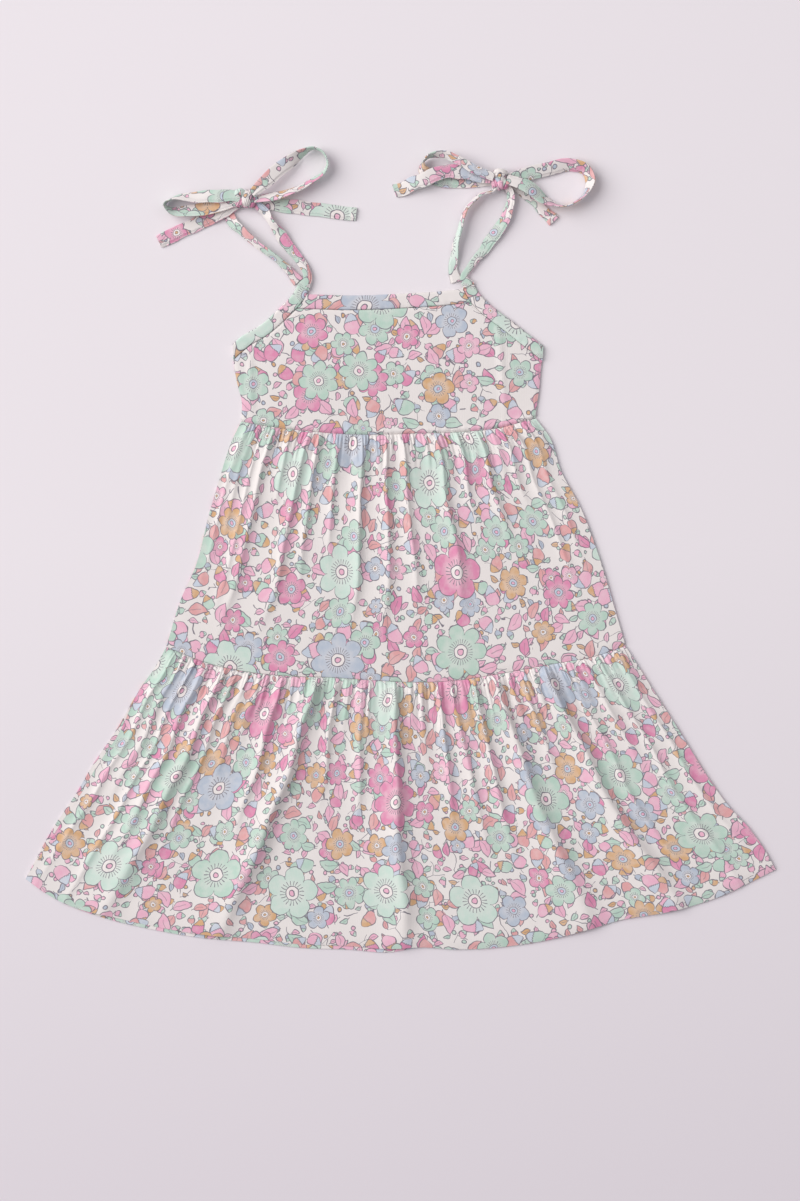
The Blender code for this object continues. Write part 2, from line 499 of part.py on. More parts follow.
def tie(name, rows):
    """A flat strip carried along its middle line, turned by its tilt. Where it meets a knot it is
    cut just clear of it."""
    hand = name.rsplit("_", 1)[1]
    if name.startswith("front_strand"):
        corner, out = neck_corner(hand)
        rows = rows + [(*(corner + out * SEAM_GAP), rows[-1][2], 0)]
    fine = curve(rows, np.linspace(0, 1, FINE))
    tilt = np.radians(fine[:, 3])
    lying = TIE_WIDTH / 2 * np.abs(np.sin(tilt)) + TIE_THICK / 2 * np.abs(np.cos(tilt)) + FLOOR_GAP
    fine[:, 2] = np.maximum(fine[:, 2], lying)
    blocked = knot_level(tie_sections(fine, section=FULL_WIDTH), hand).min(axis=1) < 1 + KNOT_CLEAR
    half = FINE // 2
    first = int(np.flatnonzero(blocked[:half]).max()) + 1
    last = FINE - 1
    if "loop" in name:
        last = half + int(np.flatnonzero(blocked[half:]).min()) - 1
    length = np.linalg.norm(np.diff(fine[first:last + 1, :3], axis=0), axis=1).sum()
    count = max(6, int(round(length / STATION)))
    chosen = np.linspace(first, last, count).round().astype(int)
    half_thick = np.full(len(chosen), TIE_THICK / 2)
    if "tail" in name:
        from_end = np.linalg.norm(fine[:, :3] - fine[last, :3], axis=1)
        hem = int(np.flatnonzero(from_end < TIE_HEM)[0])
        chosen = np.append(chosen[chosen < hem - 3], [hem - 2, hem, last])
        half_thick = np.where(chosen >= hem, TAIL_HEM_THICK / 2, TIE_THICK / 2)
        fine[hem:, 2] += (TAIL_HEM_THICK - TIE_THICK) / 2
    rings = tie_sections(fine, half_thick, chosen)
    sides = rings.shape[1]
    index = np.arange(len(chosen) * sides).reshape(len(chosen), sides)
    after = np.roll(index, -1, axis=1)
    faces = np.stack([index[:-1], after[:-1], after[1:], index[1:]], axis=2).reshape(-1, 4).tolist()
    faces.append(index[0][::-1].tolist())
    faces.append(index[-1].tolist())
    piece(name, rings.reshape(-1, 3), faces, "binding_jersey")


def tie_sections(path, half_thick=TIE_THICK / 2, chosen=slice(None), section=TIE_SECTION):
    """Corners of the strip's cross-section at the chosen places: two long edges, two flat faces."""
    along = np.gradient(path[:, :3], axis=0)[chosen]
    path = path[chosen]
    along /= np.linalg.norm(along, axis=1, keepdims=True)
    level = np.stack([-along[:, 1], along[:, 0], np.zeros(len(path))], axis=1)
    level /= np.linalg.norm(level, axis=1, keepdims=True)
    upright = np.cross(along, level)
    tilt = np.radians(path[:, 3])[:, None]
    side = np.cos(tilt) * level + np.sin(tilt) * upright
    face = np.cross(along, side)
    thick = np.broadcast_to(half_thick, len(path))[:, None]
    half = TIE_WIDTH / 2
    return np.stack([path[:, :3] + side * half * a + face * thick * b for a, b in section], axis=1)


def bows():
    for hand in KNOTS:
        knot(hand)
    for name, rows in TIES.items():
        tie(name, rows)


clear_scene()
bodice()
bindings()
tiers()
bows()
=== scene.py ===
import math

import bpy
import numpy as np
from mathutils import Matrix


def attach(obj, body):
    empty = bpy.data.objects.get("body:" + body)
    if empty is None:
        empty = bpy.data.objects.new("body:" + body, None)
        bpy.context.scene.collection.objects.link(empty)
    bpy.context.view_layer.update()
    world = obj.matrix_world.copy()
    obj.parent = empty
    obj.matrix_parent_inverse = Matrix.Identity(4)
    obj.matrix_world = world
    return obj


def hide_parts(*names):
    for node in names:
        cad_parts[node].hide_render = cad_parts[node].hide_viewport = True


# A child's tiered sundress in printed jersey, laid flat on its back panels.
# The frame is in metres. Shapes are worked out in millimetres, x to the right, y towards the neck.
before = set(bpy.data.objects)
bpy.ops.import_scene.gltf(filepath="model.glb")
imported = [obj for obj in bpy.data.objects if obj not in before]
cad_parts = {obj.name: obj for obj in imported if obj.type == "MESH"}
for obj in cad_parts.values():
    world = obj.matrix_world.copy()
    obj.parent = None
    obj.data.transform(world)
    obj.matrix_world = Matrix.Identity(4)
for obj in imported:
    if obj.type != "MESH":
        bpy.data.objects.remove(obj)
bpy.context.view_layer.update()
mm = 0.001
print("frame loaded:", len(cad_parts), "solids")


# Seam lines of the dress, x and y, left to right or top to bottom as the front is seen
outline = {
    "neck": [(-78.9, 221), (-43.9, 220), (-6.5, 221.2), (31.8, 223.4), (55.2, 225.8)],
    "armholeLeft": [
        (-89.2, 229.2), (-93.5, 221.4), (-104.2, 210), (-123.1, 193.4), (-138.2, 184.6), (-145.7, 178),
    ],
    "armholeRight": [(63.6, 230.6), (67.6, 223.3), (73.4, 216.6), (99.6, 195.6), (124, 176.2)],
    "bodiceLeft": [(-145.7, 178), (-144.9, 161.4), (-142, 144), (-138, 128), (-138.4, 110.6)],
    "bodiceRight": [(124, 176.2), (122.2, 157.4), (120.3, 136.6), (118.2, 122), (117.4, 113.6)],
    "waist": [
        (-138.4, 110.6), (-119.6, 107), (-85.7, 102.7), (-36.1, 99.2), (12.6, 100.2), (59.6, 101.9),
        (86.6, 105.2), (117.4, 113.6),
    ],
    "middleLeft": [
        (-138.4, 110.6), (-146, 95), (-157.6, 59.6), (-165.7, 32.6), (-179, -17.8), (-190, -42),
        (-203.6, -85.6),
    ],
    "middleRight": [
        (117.4, 113.6), (129.9, 96.3), (139.5, 67.6), (155.9, 36.9), (173.6, -10), (186.6, -53.5),
        (195.6, -84.6),
    ],
    "tierSeam": [
        (-203.6, -85.6), (-166.2, -100.1), (-130.9, -107.6), (-97, -110.9), (-58.4, -112.2),
        (-26.5, -114.4), (17.7, -116.3), (53.2, -114.2), (81.3, -109.8), (134.9, -100), (168.3, -94),
        (195.6, -84.6),
    ],
    "lowerLeft": [
        (-203.6, -85.6), (-214.5, -105), (-225.8, -121), (-246.6, -164), (-262.5, -187), (-278.8, -214.9),
        (-296.2, -240.6), (-326.1, -287.3),
    ],
    "lowerRight": [
        (195.6, -84.6), (220.1, -123.6), (241.4, -157), (268.4, -200.4), (284.5, -222.9), (303.8, -243.9),
        (318, -264.4), (326.3, -279.3),
    ],
    "hem": [
        (-326.1, -287.3), (-307.5, -300.5), (-286.7, -311), (-249.6, -320.6), (-219.1, -327.6),
        (-171, -335.8), (-125.7, -339.6), (-87.4, -344.1), (-43.1, -345.8), (-11.7, -348.2), (19.6, -346.9),
        (50.5, -348.6), (89.2, -346.4), (134.9, -338.9), (167, -330.3), (191, -323.2), (231, -316.4),
        (271.6, -305), (326.3, -279.3),
    ],
}
# How the layers lie on each other
layers = {
    "backTop": 1.0,         # upper side of the back panels
    "frontFloor": 1.3,      # underside of the front panels
    "cloth": 1.0,           # from the front's underside to its printed side
    "seamGap": 0.3,
    "seamClear": 0.05,      # least gap between the panels, in the seams
    "seamCloth": 0.15,      # least thickness of the front's cloth, in the seams
    "neckDepth": 12.5,      # finished depth of the neck binding
    "armholeDepth": 10.5,   # finished depth of an armhole strip
}

seamLevel = layers["backTop"] + layers["seamClear"] + layers["seamCloth"]


# How far along a line each of its points lies: the sum of the steps before it
def runLengths(line):
    return np.concatenate([[0.0], np.cumsum(np.linalg.norm(np.diff(line, axis=0), axis=1))])


# Points at shares of a line's length: a cubic between each two rows, its slopes from their neighbours
def smoothLine(rows, shares):
    rows, shares = np.array(rows, float), np.asarray(shares, float)
    knots = runLengths(rows[:, :2])
    knots /= knots[-1]
    slopes = np.gradient(rows, knots, axis=0)
    at = np.clip(np.searchsorted(knots, shares, side="right") - 1, 0, len(knots) - 2)
    span = (knots[at + 1] - knots[at])[..., None]
    t = (shares - knots[at])[..., None] / span
    return ((2 * t**3 - 3 * t**2 + 1) * rows[at] + (t**3 - 2 * t**2 + t) * span * slopes[at]
            + (3 * t**2 - 2 * t**3) * rows[at + 1] + (t**3 - t**2) * span * slopes[at + 1])


# Vectors made 1 long: each over its own length
def unitVectors(vectors):
    return vectors / np.linalg.norm(vectors, axis=-1, keepdims=True)


# A line moved to its left-hand side: each point plus the distance along the line's normal
def inset(line, distance):
    along = unitVectors(np.gradient(line, axis=0))
    return line + distance * np.stack([-along[:, 1], along[:, 0]], axis=1)


# A grid between four lines: ruled top to bottom plus ruled side to side, less the corners' plane
def coonsPatch(top, foot, left, right, across, down):
    across, down = across[None, :, None], down[:, None, None]
    ruled = (1 - down) * top[None] + down * foot[None]
    sides = (1 - across) * left[:, None] + across * right[:, None]
    corners = ((1 - down) * ((1 - across) * top[0] + across * top[-1])
               + down * ((1 - across) * foot[0] + across * foot[-1]))
    return ruled + sides - corners


# How wide each row of a plan is from side to side, and how far each point is from the nearer side
def rowWidths(plan, across):
    width = np.linalg.norm(plan[:, -1] - plan[:, 0], axis=1)
    return width, np.minimum(across, 1 - across)[None] * width[:, None]


# 0 below low, 1 above high, and 3t^2 - 2t^3 between
def smoothStep(value, low, high):
    t = np.clip((value - low) / (high - low), 0, 1)
    return t * t * (3 - 2 * t)


# The height of a ridge or the depth of a groove: exp(-(offset / half) ** 2)
def ridge(offset, half=1.0):
    return np.exp(-(offset / half) ** 2)


# Soft uneven waves from -1 to 1: the mean of sines in random directions, near one wavelength
def softWaves(x, y, length, seed, count=7):
    rng = np.random.default_rng(seed)
    total = 0
    for turn, phase, stretch in rng.uniform([0, 0, 0.7], [np.pi, 2 * np.pi, 1.5], (count, 3)):
        wave = 2 * np.pi / (length * stretch)
        total = total + np.sin((x * np.cos(turn) + y * np.sin(turn)) * wave + phase)
    return total / count * 1.6


# Rows of a line moved up by y
def shifted(rows, y):
    return [(row[0], row[1] + y) for row in rows]


# Puts a mesh, a lamp or a camera in the scene
def addObject(name, data):
    item = bpy.data.objects.new(name, data)
    bpy.context.scene.collection.objects.link(item)
    return item


# One shown piece: a mesh from points, faces and each corner's place on the flat cloth, all in mm
def makePiece(name, points, faces, cornerPlace, finish, standsFor, sharp=55):
    mesh = bpy.data.meshes.new(name)
    mesh.from_pydata((points * mm).tolist(), [], faces)
    cloth = mesh.uv_layers.new(name="cloth")
    cloth.uv.foreach_set("vector", (np.asarray(cornerPlace) * mm).astype(np.float32).ravel())
    mesh.materials.append(finish)
    mesh.shade_smooth()
    mesh.set_sharp_from_angle(angle=math.radians(sharp))
    piece = addObject(name, mesh)
    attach(piece, "root")
    for node in standsFor:
        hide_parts(node)
    return piece


# A closed thin shell: the upper grid, the lower grid under it, and a rim of quads round both
def clothShell(name, upper, lower, place, finish):
    rows, columns = upper.shape[:2]
    index = np.arange(rows * columns).reshape(rows, columns)
    under = index + rows * columns
    top = np.stack([index[:-1, :-1], index[1:, :-1], index[1:, 1:], index[:-1, 1:]], -1)
    bottom = np.stack([under[:-1, 1:], under[1:, 1:], under[1:, :-1], under[:-1, :-1]], -1)
    rim = np.concatenate([index[:-1, 0], index[-1, :-1], index[:0:-1, -1], index[0, :0:-1]])
    after = np.roll(rim, -1)
    side = np.stack([after, rim, rim + rows * columns, after + rows * columns], -1)
    faces = np.concatenate([top.reshape(-1, 4), bottom.reshape(-1, 4), side])
    points = np.concatenate([upper.reshape(-1, 3), lower.reshape(-1, 3)])
    flat = np.tile(place.reshape(-1, 2), (2, 1))
    return makePiece(name, points, faces.tolist(), flat[faces.ravel()], finish, [name])


# The lower side of a front panel: the upper side moved in along its normal by the thickness, and kept
# clear of the back panel where a seam draws it down
def lowerSide(upper, thickness):
    normal = np.cross(np.gradient(upper, axis=0), np.gradient(upper, axis=1))
    lower = upper - unitVectors(normal) * thickness
    lower[..., 2] = np.maximum(lower[..., 2], layers["backTop"] + layers["seamClear"])
    return lower


# Where each grid point was on the flat cloth: arc lengths along its row and column, as shares of the
# whole row and column, times the cut's size
def flatPlace(upper, size, start):
    across, down = [np.cumsum(np.linalg.norm(np.diff(upper, axis=axis, prepend=first), axis=2), axis=axis)
                    for axis, first in ((1, upper[:, :1]), (0, upper[:1]))]
    x = start[0] + across / across[:, -1:] * size[0]
    y = start[1] - down / down[-1:] * size[1]
    return np.dstack([x, y])


# Colours

# sRGB hex to linear: c / 12.92 up to 0.04045, else ((c + 0.055) / 1.055) ** 2.4
def linear(hexColour):
    parts = [int(hexColour[i:i + 2], 16) / 255 for i in (1, 3, 5)]
    return (*[c / 12.92 if c <= 0.04045 else ((c + 0.055) / 1.055) ** 2.4 for c in parts], 1.0)


# Adds one node. Inputs are values, sockets or nodes, by number or name. An input that is a list adds a Math
# node of its own: its operation, then its inputs. Stops fill a colour ramp.
def addNode(tree, kind, inputs=(), stops=None, **settings):
    node = tree.nodes.new("ShaderNode" + kind)
    for key, value in settings.items():
        setattr(node, key, value)
    for key, value in inputs.items() if isinstance(inputs, dict) else enumerate(inputs):
        if isinstance(value, list):
            value = addNode(tree, "Math", value[1:], operation=value[0])
        if hasattr(value, "outputs"):
            value = value.outputs[0]
        if isinstance(value, bpy.types.NodeSocket):
            tree.links.new(value, node.inputs[key])
        else:
            node.inputs[key].default_value = value
    if stops:
        ramp = node.color_ramp
        ramp.interpolation = "CONSTANT"
        while len(ramp.elements) < len(stops):
            ramp.elements.new(1.0)
        for element, (at, colour) in zip(ramp.elements, stops):
            element.position = at
            element.color = colour
    return node


# A new material, its node tree and its shader, with values for the shader's inputs
def newFinish(name, values, slot=None):
    finish = bpy.data.materials.new(name)
    finish.use_nodes = True
    if slot:
        finish["slot"] = slot
    shader = finish.node_tree.nodes["Principled BSDF"]
    for key, value in values.items():
        shader.inputs[key].default_value = value
    return finish, finish.node_tree, shader


# The print: a pale ground strewn with flowers, buds, leaves and berries, drawn with a grey line.
# Sizes in millimetres on the flat cloth.
ink = {
    "ground": "#e8e2df", "line": "#7c7781", "mint": "#b9d2c4", "paleMint": "#c8dcd1",
    "blue": "#b7c1cf", "paleBlue": "#c5ceda", "pink": "#e9b4c8", "deepPink": "#dd8fb0",
    "tan": "#d6ac81", "coral": "#dfa6a6", "cream": "#ece5e2",
}
ink = {name: linear(colour) for name, colour in ink.items()}
lineWidth = (0.22, 0.56)    # solid up to the first, gone at the second, to either side
motifRoom = 0.97            # a motif fills this share of the circle that is free round it
flowerKinds = [
    {"spacing": 34, "scatter": 0.8, "largest": 10.5, "shown": 0.50, "petals": 4,
     "colours": ["mint", "tan", "pink", "mint", "blue", "deepPink"], "eye": "cream", "heart": "tan"},
    {"spacing": 52, "scatter": 0.75, "largest": 14.5, "shown": 0.74, "petals": 5,
     "colours": ["mint", "deepPink", "mint", "tan", "mint", "blue", "mint", "tan"],
     "eye": "paleBlue", "heart": "pink"},
    {"spacing": 86, "scatter": 0.7, "largest": 24.0, "shown": 0.70, "petals": 5,
     "colours": ["mint", "paleMint", "blue", "mint", "paleMint", "mint", "deepPink", "mint"],
     "eye": "cream", "heart": "pink"},
]
flowerShape = {
    "notch": 0.40, "lobePower": 0.6,    # how deep the edge dips between petals, and how full they are
    "petalLine": (0.5, 1.3),            # between petals: solid up to the first, gone at the second
    "petalLineFrom": 0.60,              # share of the radius
    "dashes": 8.0, "dashCut": 0.80,     # how many a petal, and how short
    "dashRing": (0.38, 0.09),           # shares of the radius: middle and half width
    "pale": (0.25, 0.75, 0.35, 0.0),    # from and to these shares of the radius, paler by these
    "rings": (0.085, 0.12, 0.235, 0.27),    # where the eye's colours end
}
leafKinds = [
    {"spacing": 11.5, "scatter": 0.6, "largest": 4.4, "shown": 0.85,
     "colours": ["pink", "blue", "pink", "mint", "tan", "coral", "pink", "pink"], "caps": "mint"},
    {"spacing": 22.0, "scatter": 0.5, "largest": 8.6, "shown": 0.75,
     "colours": ["mint", "pink", "coral", "pink", "mint", "deepPink", "coral", "pink"], "caps": "tan"},
    {"spacing": 23.5, "scatter": 0.5, "largest": 9.8, "shown": 0.85,
     "colours": ["pink", "pink", "coral", "pink", "mint", "pink", "deepPink", "coral"], "caps": "paleBlue"},
]
leafShape = {
    "length": 0.94,                                 # share of the free circle's radius
    "bend": 0.22, "taper": 0.20,                    # shares of the length
    "width": (0.56, 0.70), "power": (0.85, 0.55),   # of a leaf and of a bud
    "capFrom": 0.28, "tooth": 0.9, "veinTo": 0.35,  # shares of the length, and the teeth's size
    "stem": (-1.15, 0.2),                           # its middle and half length
}
berries = {"spacing": 8.5, "scatter": 0.9, "largest": 1.8, "shown": 0.25,
           "colours": ["pink", "blue", "tan", "pink", "mint"]}
twigs = {"spacing": 30, "scatter": 0.9, "half": 0.45, "bend": 9.0, "bendSize": 24.0,
         "patch": 15.0, "shown": 0.52}
handWobble = {"size": 7.0, "reach": 1.1}    # the drawn edges waver by this much
washPatches = {"size": 7.0, "strongest": 0.22}


# Cells strewn over the cloth: each gives the radius of a circle that clears its neighbours, three random
# numbers and a colour. A place is measured from its cell's centre and turned by a random angle.
def motifCell(tree, place, kind):
    shape = {"Vector": place, "Scale": 1 / kind["spacing"], "Randomness": kind["scatter"]}
    cell, room = [addNode(tree, "TexVoronoi", shape, voronoi_dimensions="2D", feature=feature)
                  for feature in ("F1", "N_SPHERE_RADIUS")]
    chance = addNode(tree, "SeparateColor", [cell.outputs["Color"]])
    free = ["MULTIPLY", room.outputs["Radius"], kind["spacing"] * motifRoom]
    hidden = ["GREATER_THAN", chance.outputs[1], kind["shown"]]
    radius = addNode(tree, "Math", [hidden, -1000.0, ["MINIMUM", free, kind["largest"]]],
                     operation="MULTIPLY_ADD")
    local = addNode(tree, "VectorMath", [place, cell.outputs["Position"]], operation="SUBTRACT")
    turn = {"Vector": local, "Angle": ["MULTIPLY", chance.outputs[0], 2 * math.pi]}
    turned = addNode(tree, "VectorRotate", turn, rotation_type="Z_AXIS")
    stops = [(i / len(kind["colours"]), ink[name]) for i, name in enumerate(kind["colours"])]
    return radius, turned, chance, addNode(tree, "ValToRGB", [chance.outputs[0]], stops=stops)


# Lays a shape over what is under it: its colour where distance is below 0, its line where it is near 0
def inkShape(tree, under, distance, colour, marks=None):
    inside = addNode(tree, "MapRange", [distance, -0.2, 0.2, 1.0, 0.0])
    drawn = addNode(tree, "MixRGB", [inside, under, colour])
    line = addNode(tree, "MapRange", [["ABSOLUTE", distance], *lineWidth, 1.0, 0.0])
    if marks:
        line = ["MAXIMUM", line, ["MULTIPLY", marks, inside]]
    return addNode(tree, "MixRGB", [line, drawn, ink["line"]])


# Flowers: the edge is the radius times (1 - notch + notch * |cos(petals * angle / 2)| ** 0.6), with a
# line between petals, short dashes round the eye, and an eye in rings
def addFlowers(tree, place, under, kind, tone):
    shape = flowerShape
    radius, turned, chance, fill = motifCell(tree, place, kind)
    x, y = addNode(tree, "SeparateXYZ", [turned]).outputs[:2]
    reach = addNode(tree, "VectorMath", [turned], operation="LENGTH").outputs["Value"]
    share = addNode(tree, "Math", [reach, radius], operation="DIVIDE")
    count = ["FLOOR", ["MULTIPLY_ADD", chance.outputs[2], 2.99, kind["petals"]]]
    half = ["MULTIPLY", ["ARCTAN2", y, x], 0.5]
    phase = addNode(tree, "Math", [half, count], operation="MULTIPLY")
    wave = addNode(tree, "Math", [["COSINE", phase]], operation="ABSOLUTE")
    edge = ["MULTIPLY_ADD", ["POWER", wave, shape["lobePower"]], shape["notch"], 1 - shape["notch"]]
    distance = addNode(tree, "Math", [reach, ["MULTIPLY", edge, radius]], operation="SUBTRACT")
    between = addNode(tree, "MapRange", [["MULTIPLY", wave, reach], *shape["petalLine"], 1.0, 0.0])
    between = ["MULTIPLY", between, ["GREATER_THAN", share, shape["petalLineFrom"]]]
    dash = ["GREATER_THAN", ["COSINE", ["MULTIPLY", phase, shape["dashes"]]], shape["dashCut"]]
    dash = ["MULTIPLY", dash, ["COMPARE", share, *shape["dashRing"]]]
    pale = addNode(tree, "MapRange", [share, *shape["pale"]])
    fill = addNode(tree, "MixRGB", [["ADD", pale, tone], fill, ink["cream"]])
    drawn = inkShape(tree, under, distance, fill, ["MAXIMUM", between, dash])
    colours = [ink["line"], ink[kind["eye"]], ink["line"], (0, 0, 0, 0)]
    eye = addNode(tree, "ValToRGB", [share], stops=[(0.0, ink[kind["heart"]]), *zip(shape["rings"], colours)])
    shown = ["MULTIPLY", ["GREATER_THAN", radius, 0.0], eye.outputs["Alpha"]]
    return addNode(tree, "MixRGB", [shown, drawn, eye])


# Leaves and buds: the half width is length * width * (1 - (x / length) ** 2) ** power, and the width
# falls towards the tip. A leaf has a vein, a bud is rounder and has a toothed cap of another colour.
def addLeaves(tree, place, under, kind, tone):
    shape = leafShape
    radius, turned, chance, fill = motifCell(tree, place, kind)
    x, y = addNode(tree, "SeparateXYZ", [turned]).outputs[:2]
    length = addNode(tree, "Math", [radius, shape["length"]], operation="MULTIPLY")
    along = addNode(tree, "Math", [x, length], operation="DIVIDE")
    square = addNode(tree, "Math", [along, along], operation="MULTIPLY")
    bent = ["MULTIPLY_ADD", ["MULTIPLY", square, length], shape["bend"], y]
    aside = addNode(tree, "Math", [bent], operation="ABSOLUTE")
    bud = addNode(tree, "Math", [chance.outputs[2], 0.5], operation="GREATER_THAN")
    width, power = [["MULTIPLY_ADD", bud, ofBud - ofLeaf, ofLeaf]
                    for ofLeaf, ofBud in (shape["width"], shape["power"])]
    width = ["MULTIPLY_ADD", along, -shape["taper"], width]
    left = addNode(tree, "Math", [1.0, square], operation="SUBTRACT", use_clamp=True)
    wide = ["MULTIPLY", ["MULTIPLY", ["POWER", left, power], width], length]
    beyond = ["MULTIPLY", ["SUBTRACT", square, 1.0], length]
    distance = addNode(tree, "Math", [["SUBTRACT", aside, wide], beyond], operation="MAXIMUM")
    cut = ["MULTIPLY_ADD", ["PINGPONG", y, shape["tooth"]], shape["tooth"], x]
    past = addNode(tree, "Math", [cut, ["MULTIPLY", length, shape["capFrom"]]], operation="SUBTRACT")
    capped = ["MULTIPLY", ["GREATER_THAN", past, 0.0], bud]
    fill = addNode(tree, "MixRGB", [capped, fill, ink[kind["caps"]]])
    fill = addNode(tree, "MixRGB", [tone, fill, ink["cream"]])
    capLine = addNode(tree, "MapRange", [["ABSOLUTE", past], 0.15, 0.5, 1.0, 0.0])
    vein = addNode(tree, "MapRange", [aside, 0.12, 0.45, 0.6, 0.0])
    vein = ["MULTIPLY", ["MULTIPLY", vein, ["LESS_THAN", along, shape["veinTo"]]], ["SUBTRACT", 1.0, bud]]
    stem = addNode(tree, "MapRange", [aside, 0.2, 0.55, 1.0, 0.0])
    stem = ["MULTIPLY", stem, ["COMPARE", along, *shape["stem"]]]
    drawn = addNode(tree, "MixRGB", [stem, under, ink["line"]])
    return inkShape(tree, drawn, distance, fill, ["MAXIMUM", ["MULTIPLY", capLine, bud], vein])


# Berries: small circles
def addBerries(tree, place, under, kind, tone):
    radius, turned, _, fill = motifCell(tree, place, kind)
    reach = addNode(tree, "VectorMath", [turned], operation="LENGTH").outputs["Value"]
    distance = addNode(tree, "Math", [reach, radius], operation="SUBTRACT")
    fill = addNode(tree, "MixRGB", [tone, fill, ink["cream"]])
    return inkShape(tree, under, distance, fill)


# A place moved to and fro: the place plus twice the reach times a noise colour less its middle
def wavered(tree, place, size, detail, reach):
    noise = addNode(tree, "TexNoise", {"Vector": place, "Scale": 1 / size, "Detail": detail},
                    noise_dimensions="2D")
    drift = addNode(tree, "VectorMath", [noise.outputs["Color"], (0.5, 0.5, 0.5)], operation="SUBTRACT")
    drift = addNode(tree, "VectorMath", {0: drift, "Scale": 2 * reach}, operation="SCALE")
    return addNode(tree, "VectorMath", [place, drift], operation="ADD")


# Twigs: thin curved lines where the distance to the border of large cells, bent by noise, is near 0,
# shown where another noise is over a half
def addTwigs(tree, place, under, kind):
    bent = wavered(tree, place, kind["bendSize"], 0.0, kind["bend"])
    shape = {"Vector": bent, "Scale": 1 / kind["spacing"], "Randomness": kind["scatter"]}
    border = addNode(tree, "TexVoronoi", shape, voronoi_dimensions="2D", feature="DISTANCE_TO_EDGE")
    away = ["MULTIPLY", border.outputs["Distance"], kind["spacing"]]
    line = addNode(tree, "MapRange", [away, 0.15, kind["half"], 1.0, 0.0])
    parts = addNode(tree, "TexNoise", {"Vector": place, "Scale": 1 / kind["patch"], "Detail": 0.0},
                    noise_dimensions="2D")
    line = ["MULTIPLY", line, ["GREATER_THAN", parts, kind["shown"]]]
    return addNode(tree, "MixRGB", [line, under, ink["line"]])


# The print as one node group: the place plus a small noise, so that edges waver as if drawn by hand,
# then twigs, berries, leaves and flowers, the larger ones over the smaller ones. Each kind reads its own
# part of the endless pattern, moved by a step that differs, so that no two kinds line up. A second noise
# lightens the colours in patches, like a wash.
def floralPrint():
    tree = bpy.data.node_groups.new("floral print", "ShaderNodeTree")
    tree.interface.new_socket("Place", in_out="INPUT", socket_type="NodeSocketVector")
    tree.interface.new_socket("Color", in_out="OUTPUT", socket_type="NodeSocketColor")
    place = tree.nodes.new("NodeGroupInput").outputs["Place"]
    drawnAt = wavered(tree, place, handWobble["size"], 1.0, handWobble["reach"])
    wash = addNode(tree, "TexNoise", {"Vector": place, "Scale": 1 / washPatches["size"], "Detail": 2.0},
                   noise_dimensions="2D")
    tone = addNode(tree, "MapRange", [wash, 0.4, 0.7, 0.0, washPatches["strongest"]])
    colour = addTwigs(tree, drawnAt, ink["ground"], twigs)
    colour = addBerries(tree, drawnAt, colour, berries, tone)
    strewn = [(addLeaves, kind, (310 * i, 170, 0)) for i, kind in enumerate(leafKinds)]
    strewn += [(addFlowers, kind, (530 * i, 90 * i, 0)) for i, kind in enumerate(flowerKinds)]
    for addMotifs, kind, step in strewn:
        moved = addNode(tree, "VectorMath", [drawnAt, step], operation="ADD")
        colour = addMotifs(tree, moved, colour, kind, tone)
    tree.links.new(colour.outputs[0], tree.nodes.new("NodeGroupOutput").inputs["Color"])
    return tree


# Cotton jersey, knitted, printed and lightly brushed: matt, with a faint pale sheen at grazing angles.
# Its wales are 0.8 mm apart and are drawn at 1.5 mm, so that they show at all.
jersey = {
    "surface": {"Roughness": 0.80, "Specular IOR Level": 0.30, "Sheen Weight": 0.16, "Sheen Roughness": 0.45},
    "wale": 1.5,            # spacing of the wales
    "knit": 0.16,           # strength of their bump
    "relief": 0.4,          # its depth
}


# A jersey finish: the print read at the place on the flat cloth, a bump of half the wales' waves plus
# fine noise, and a uniform sheen
def jerseyFinish(name, slot, printed):
    finish, tree, shader = newFinish(name, jersey["surface"], slot)
    flat = addNode(tree, "UVMap", uv_map="cloth")
    place = addNode(tree, "VectorMath", {0: flat, "Scale": 1 / mm}, operation="SCALE")
    figure = tree.nodes.new("ShaderNodeGroup")
    figure.node_tree = printed
    tree.links.new(place.outputs[0], figure.inputs["Place"])
    tree.links.new(figure.outputs["Color"], shader.inputs["Base Color"])
    bands = {"Vector": place, "Scale": math.pi / 10 / jersey["wale"], "Distortion": 1.5, "Detail": 2.0,
             "Detail Scale": 0.6}
    wales = addNode(tree, "TexWave", bands, wave_type="BANDS", bands_direction="X")
    loops = addNode(tree, "TexNoise", {"Vector": place, "Scale": 0.9, "Detail": 2.0}, noise_dimensions="2D")
    relief = {"Strength": jersey["knit"], "Distance": jersey["relief"] * mm,
              "Height": ["MULTIPLY_ADD", wales.outputs["Fac"], 0.5, loops]}
    tree.links.new(addNode(tree, "Bump", relief).outputs[0], shader.inputs["Normal"])
    return finish


printed = floralPrint()
bodyJersey = jerseyFinish("printed cotton jersey", "printed_jersey", printed)
stripJersey = jerseyFinish("folded jersey strip", "binding_jersey", printed)
print("cloth finishes made,", len(printed.nodes), "nodes in the print")


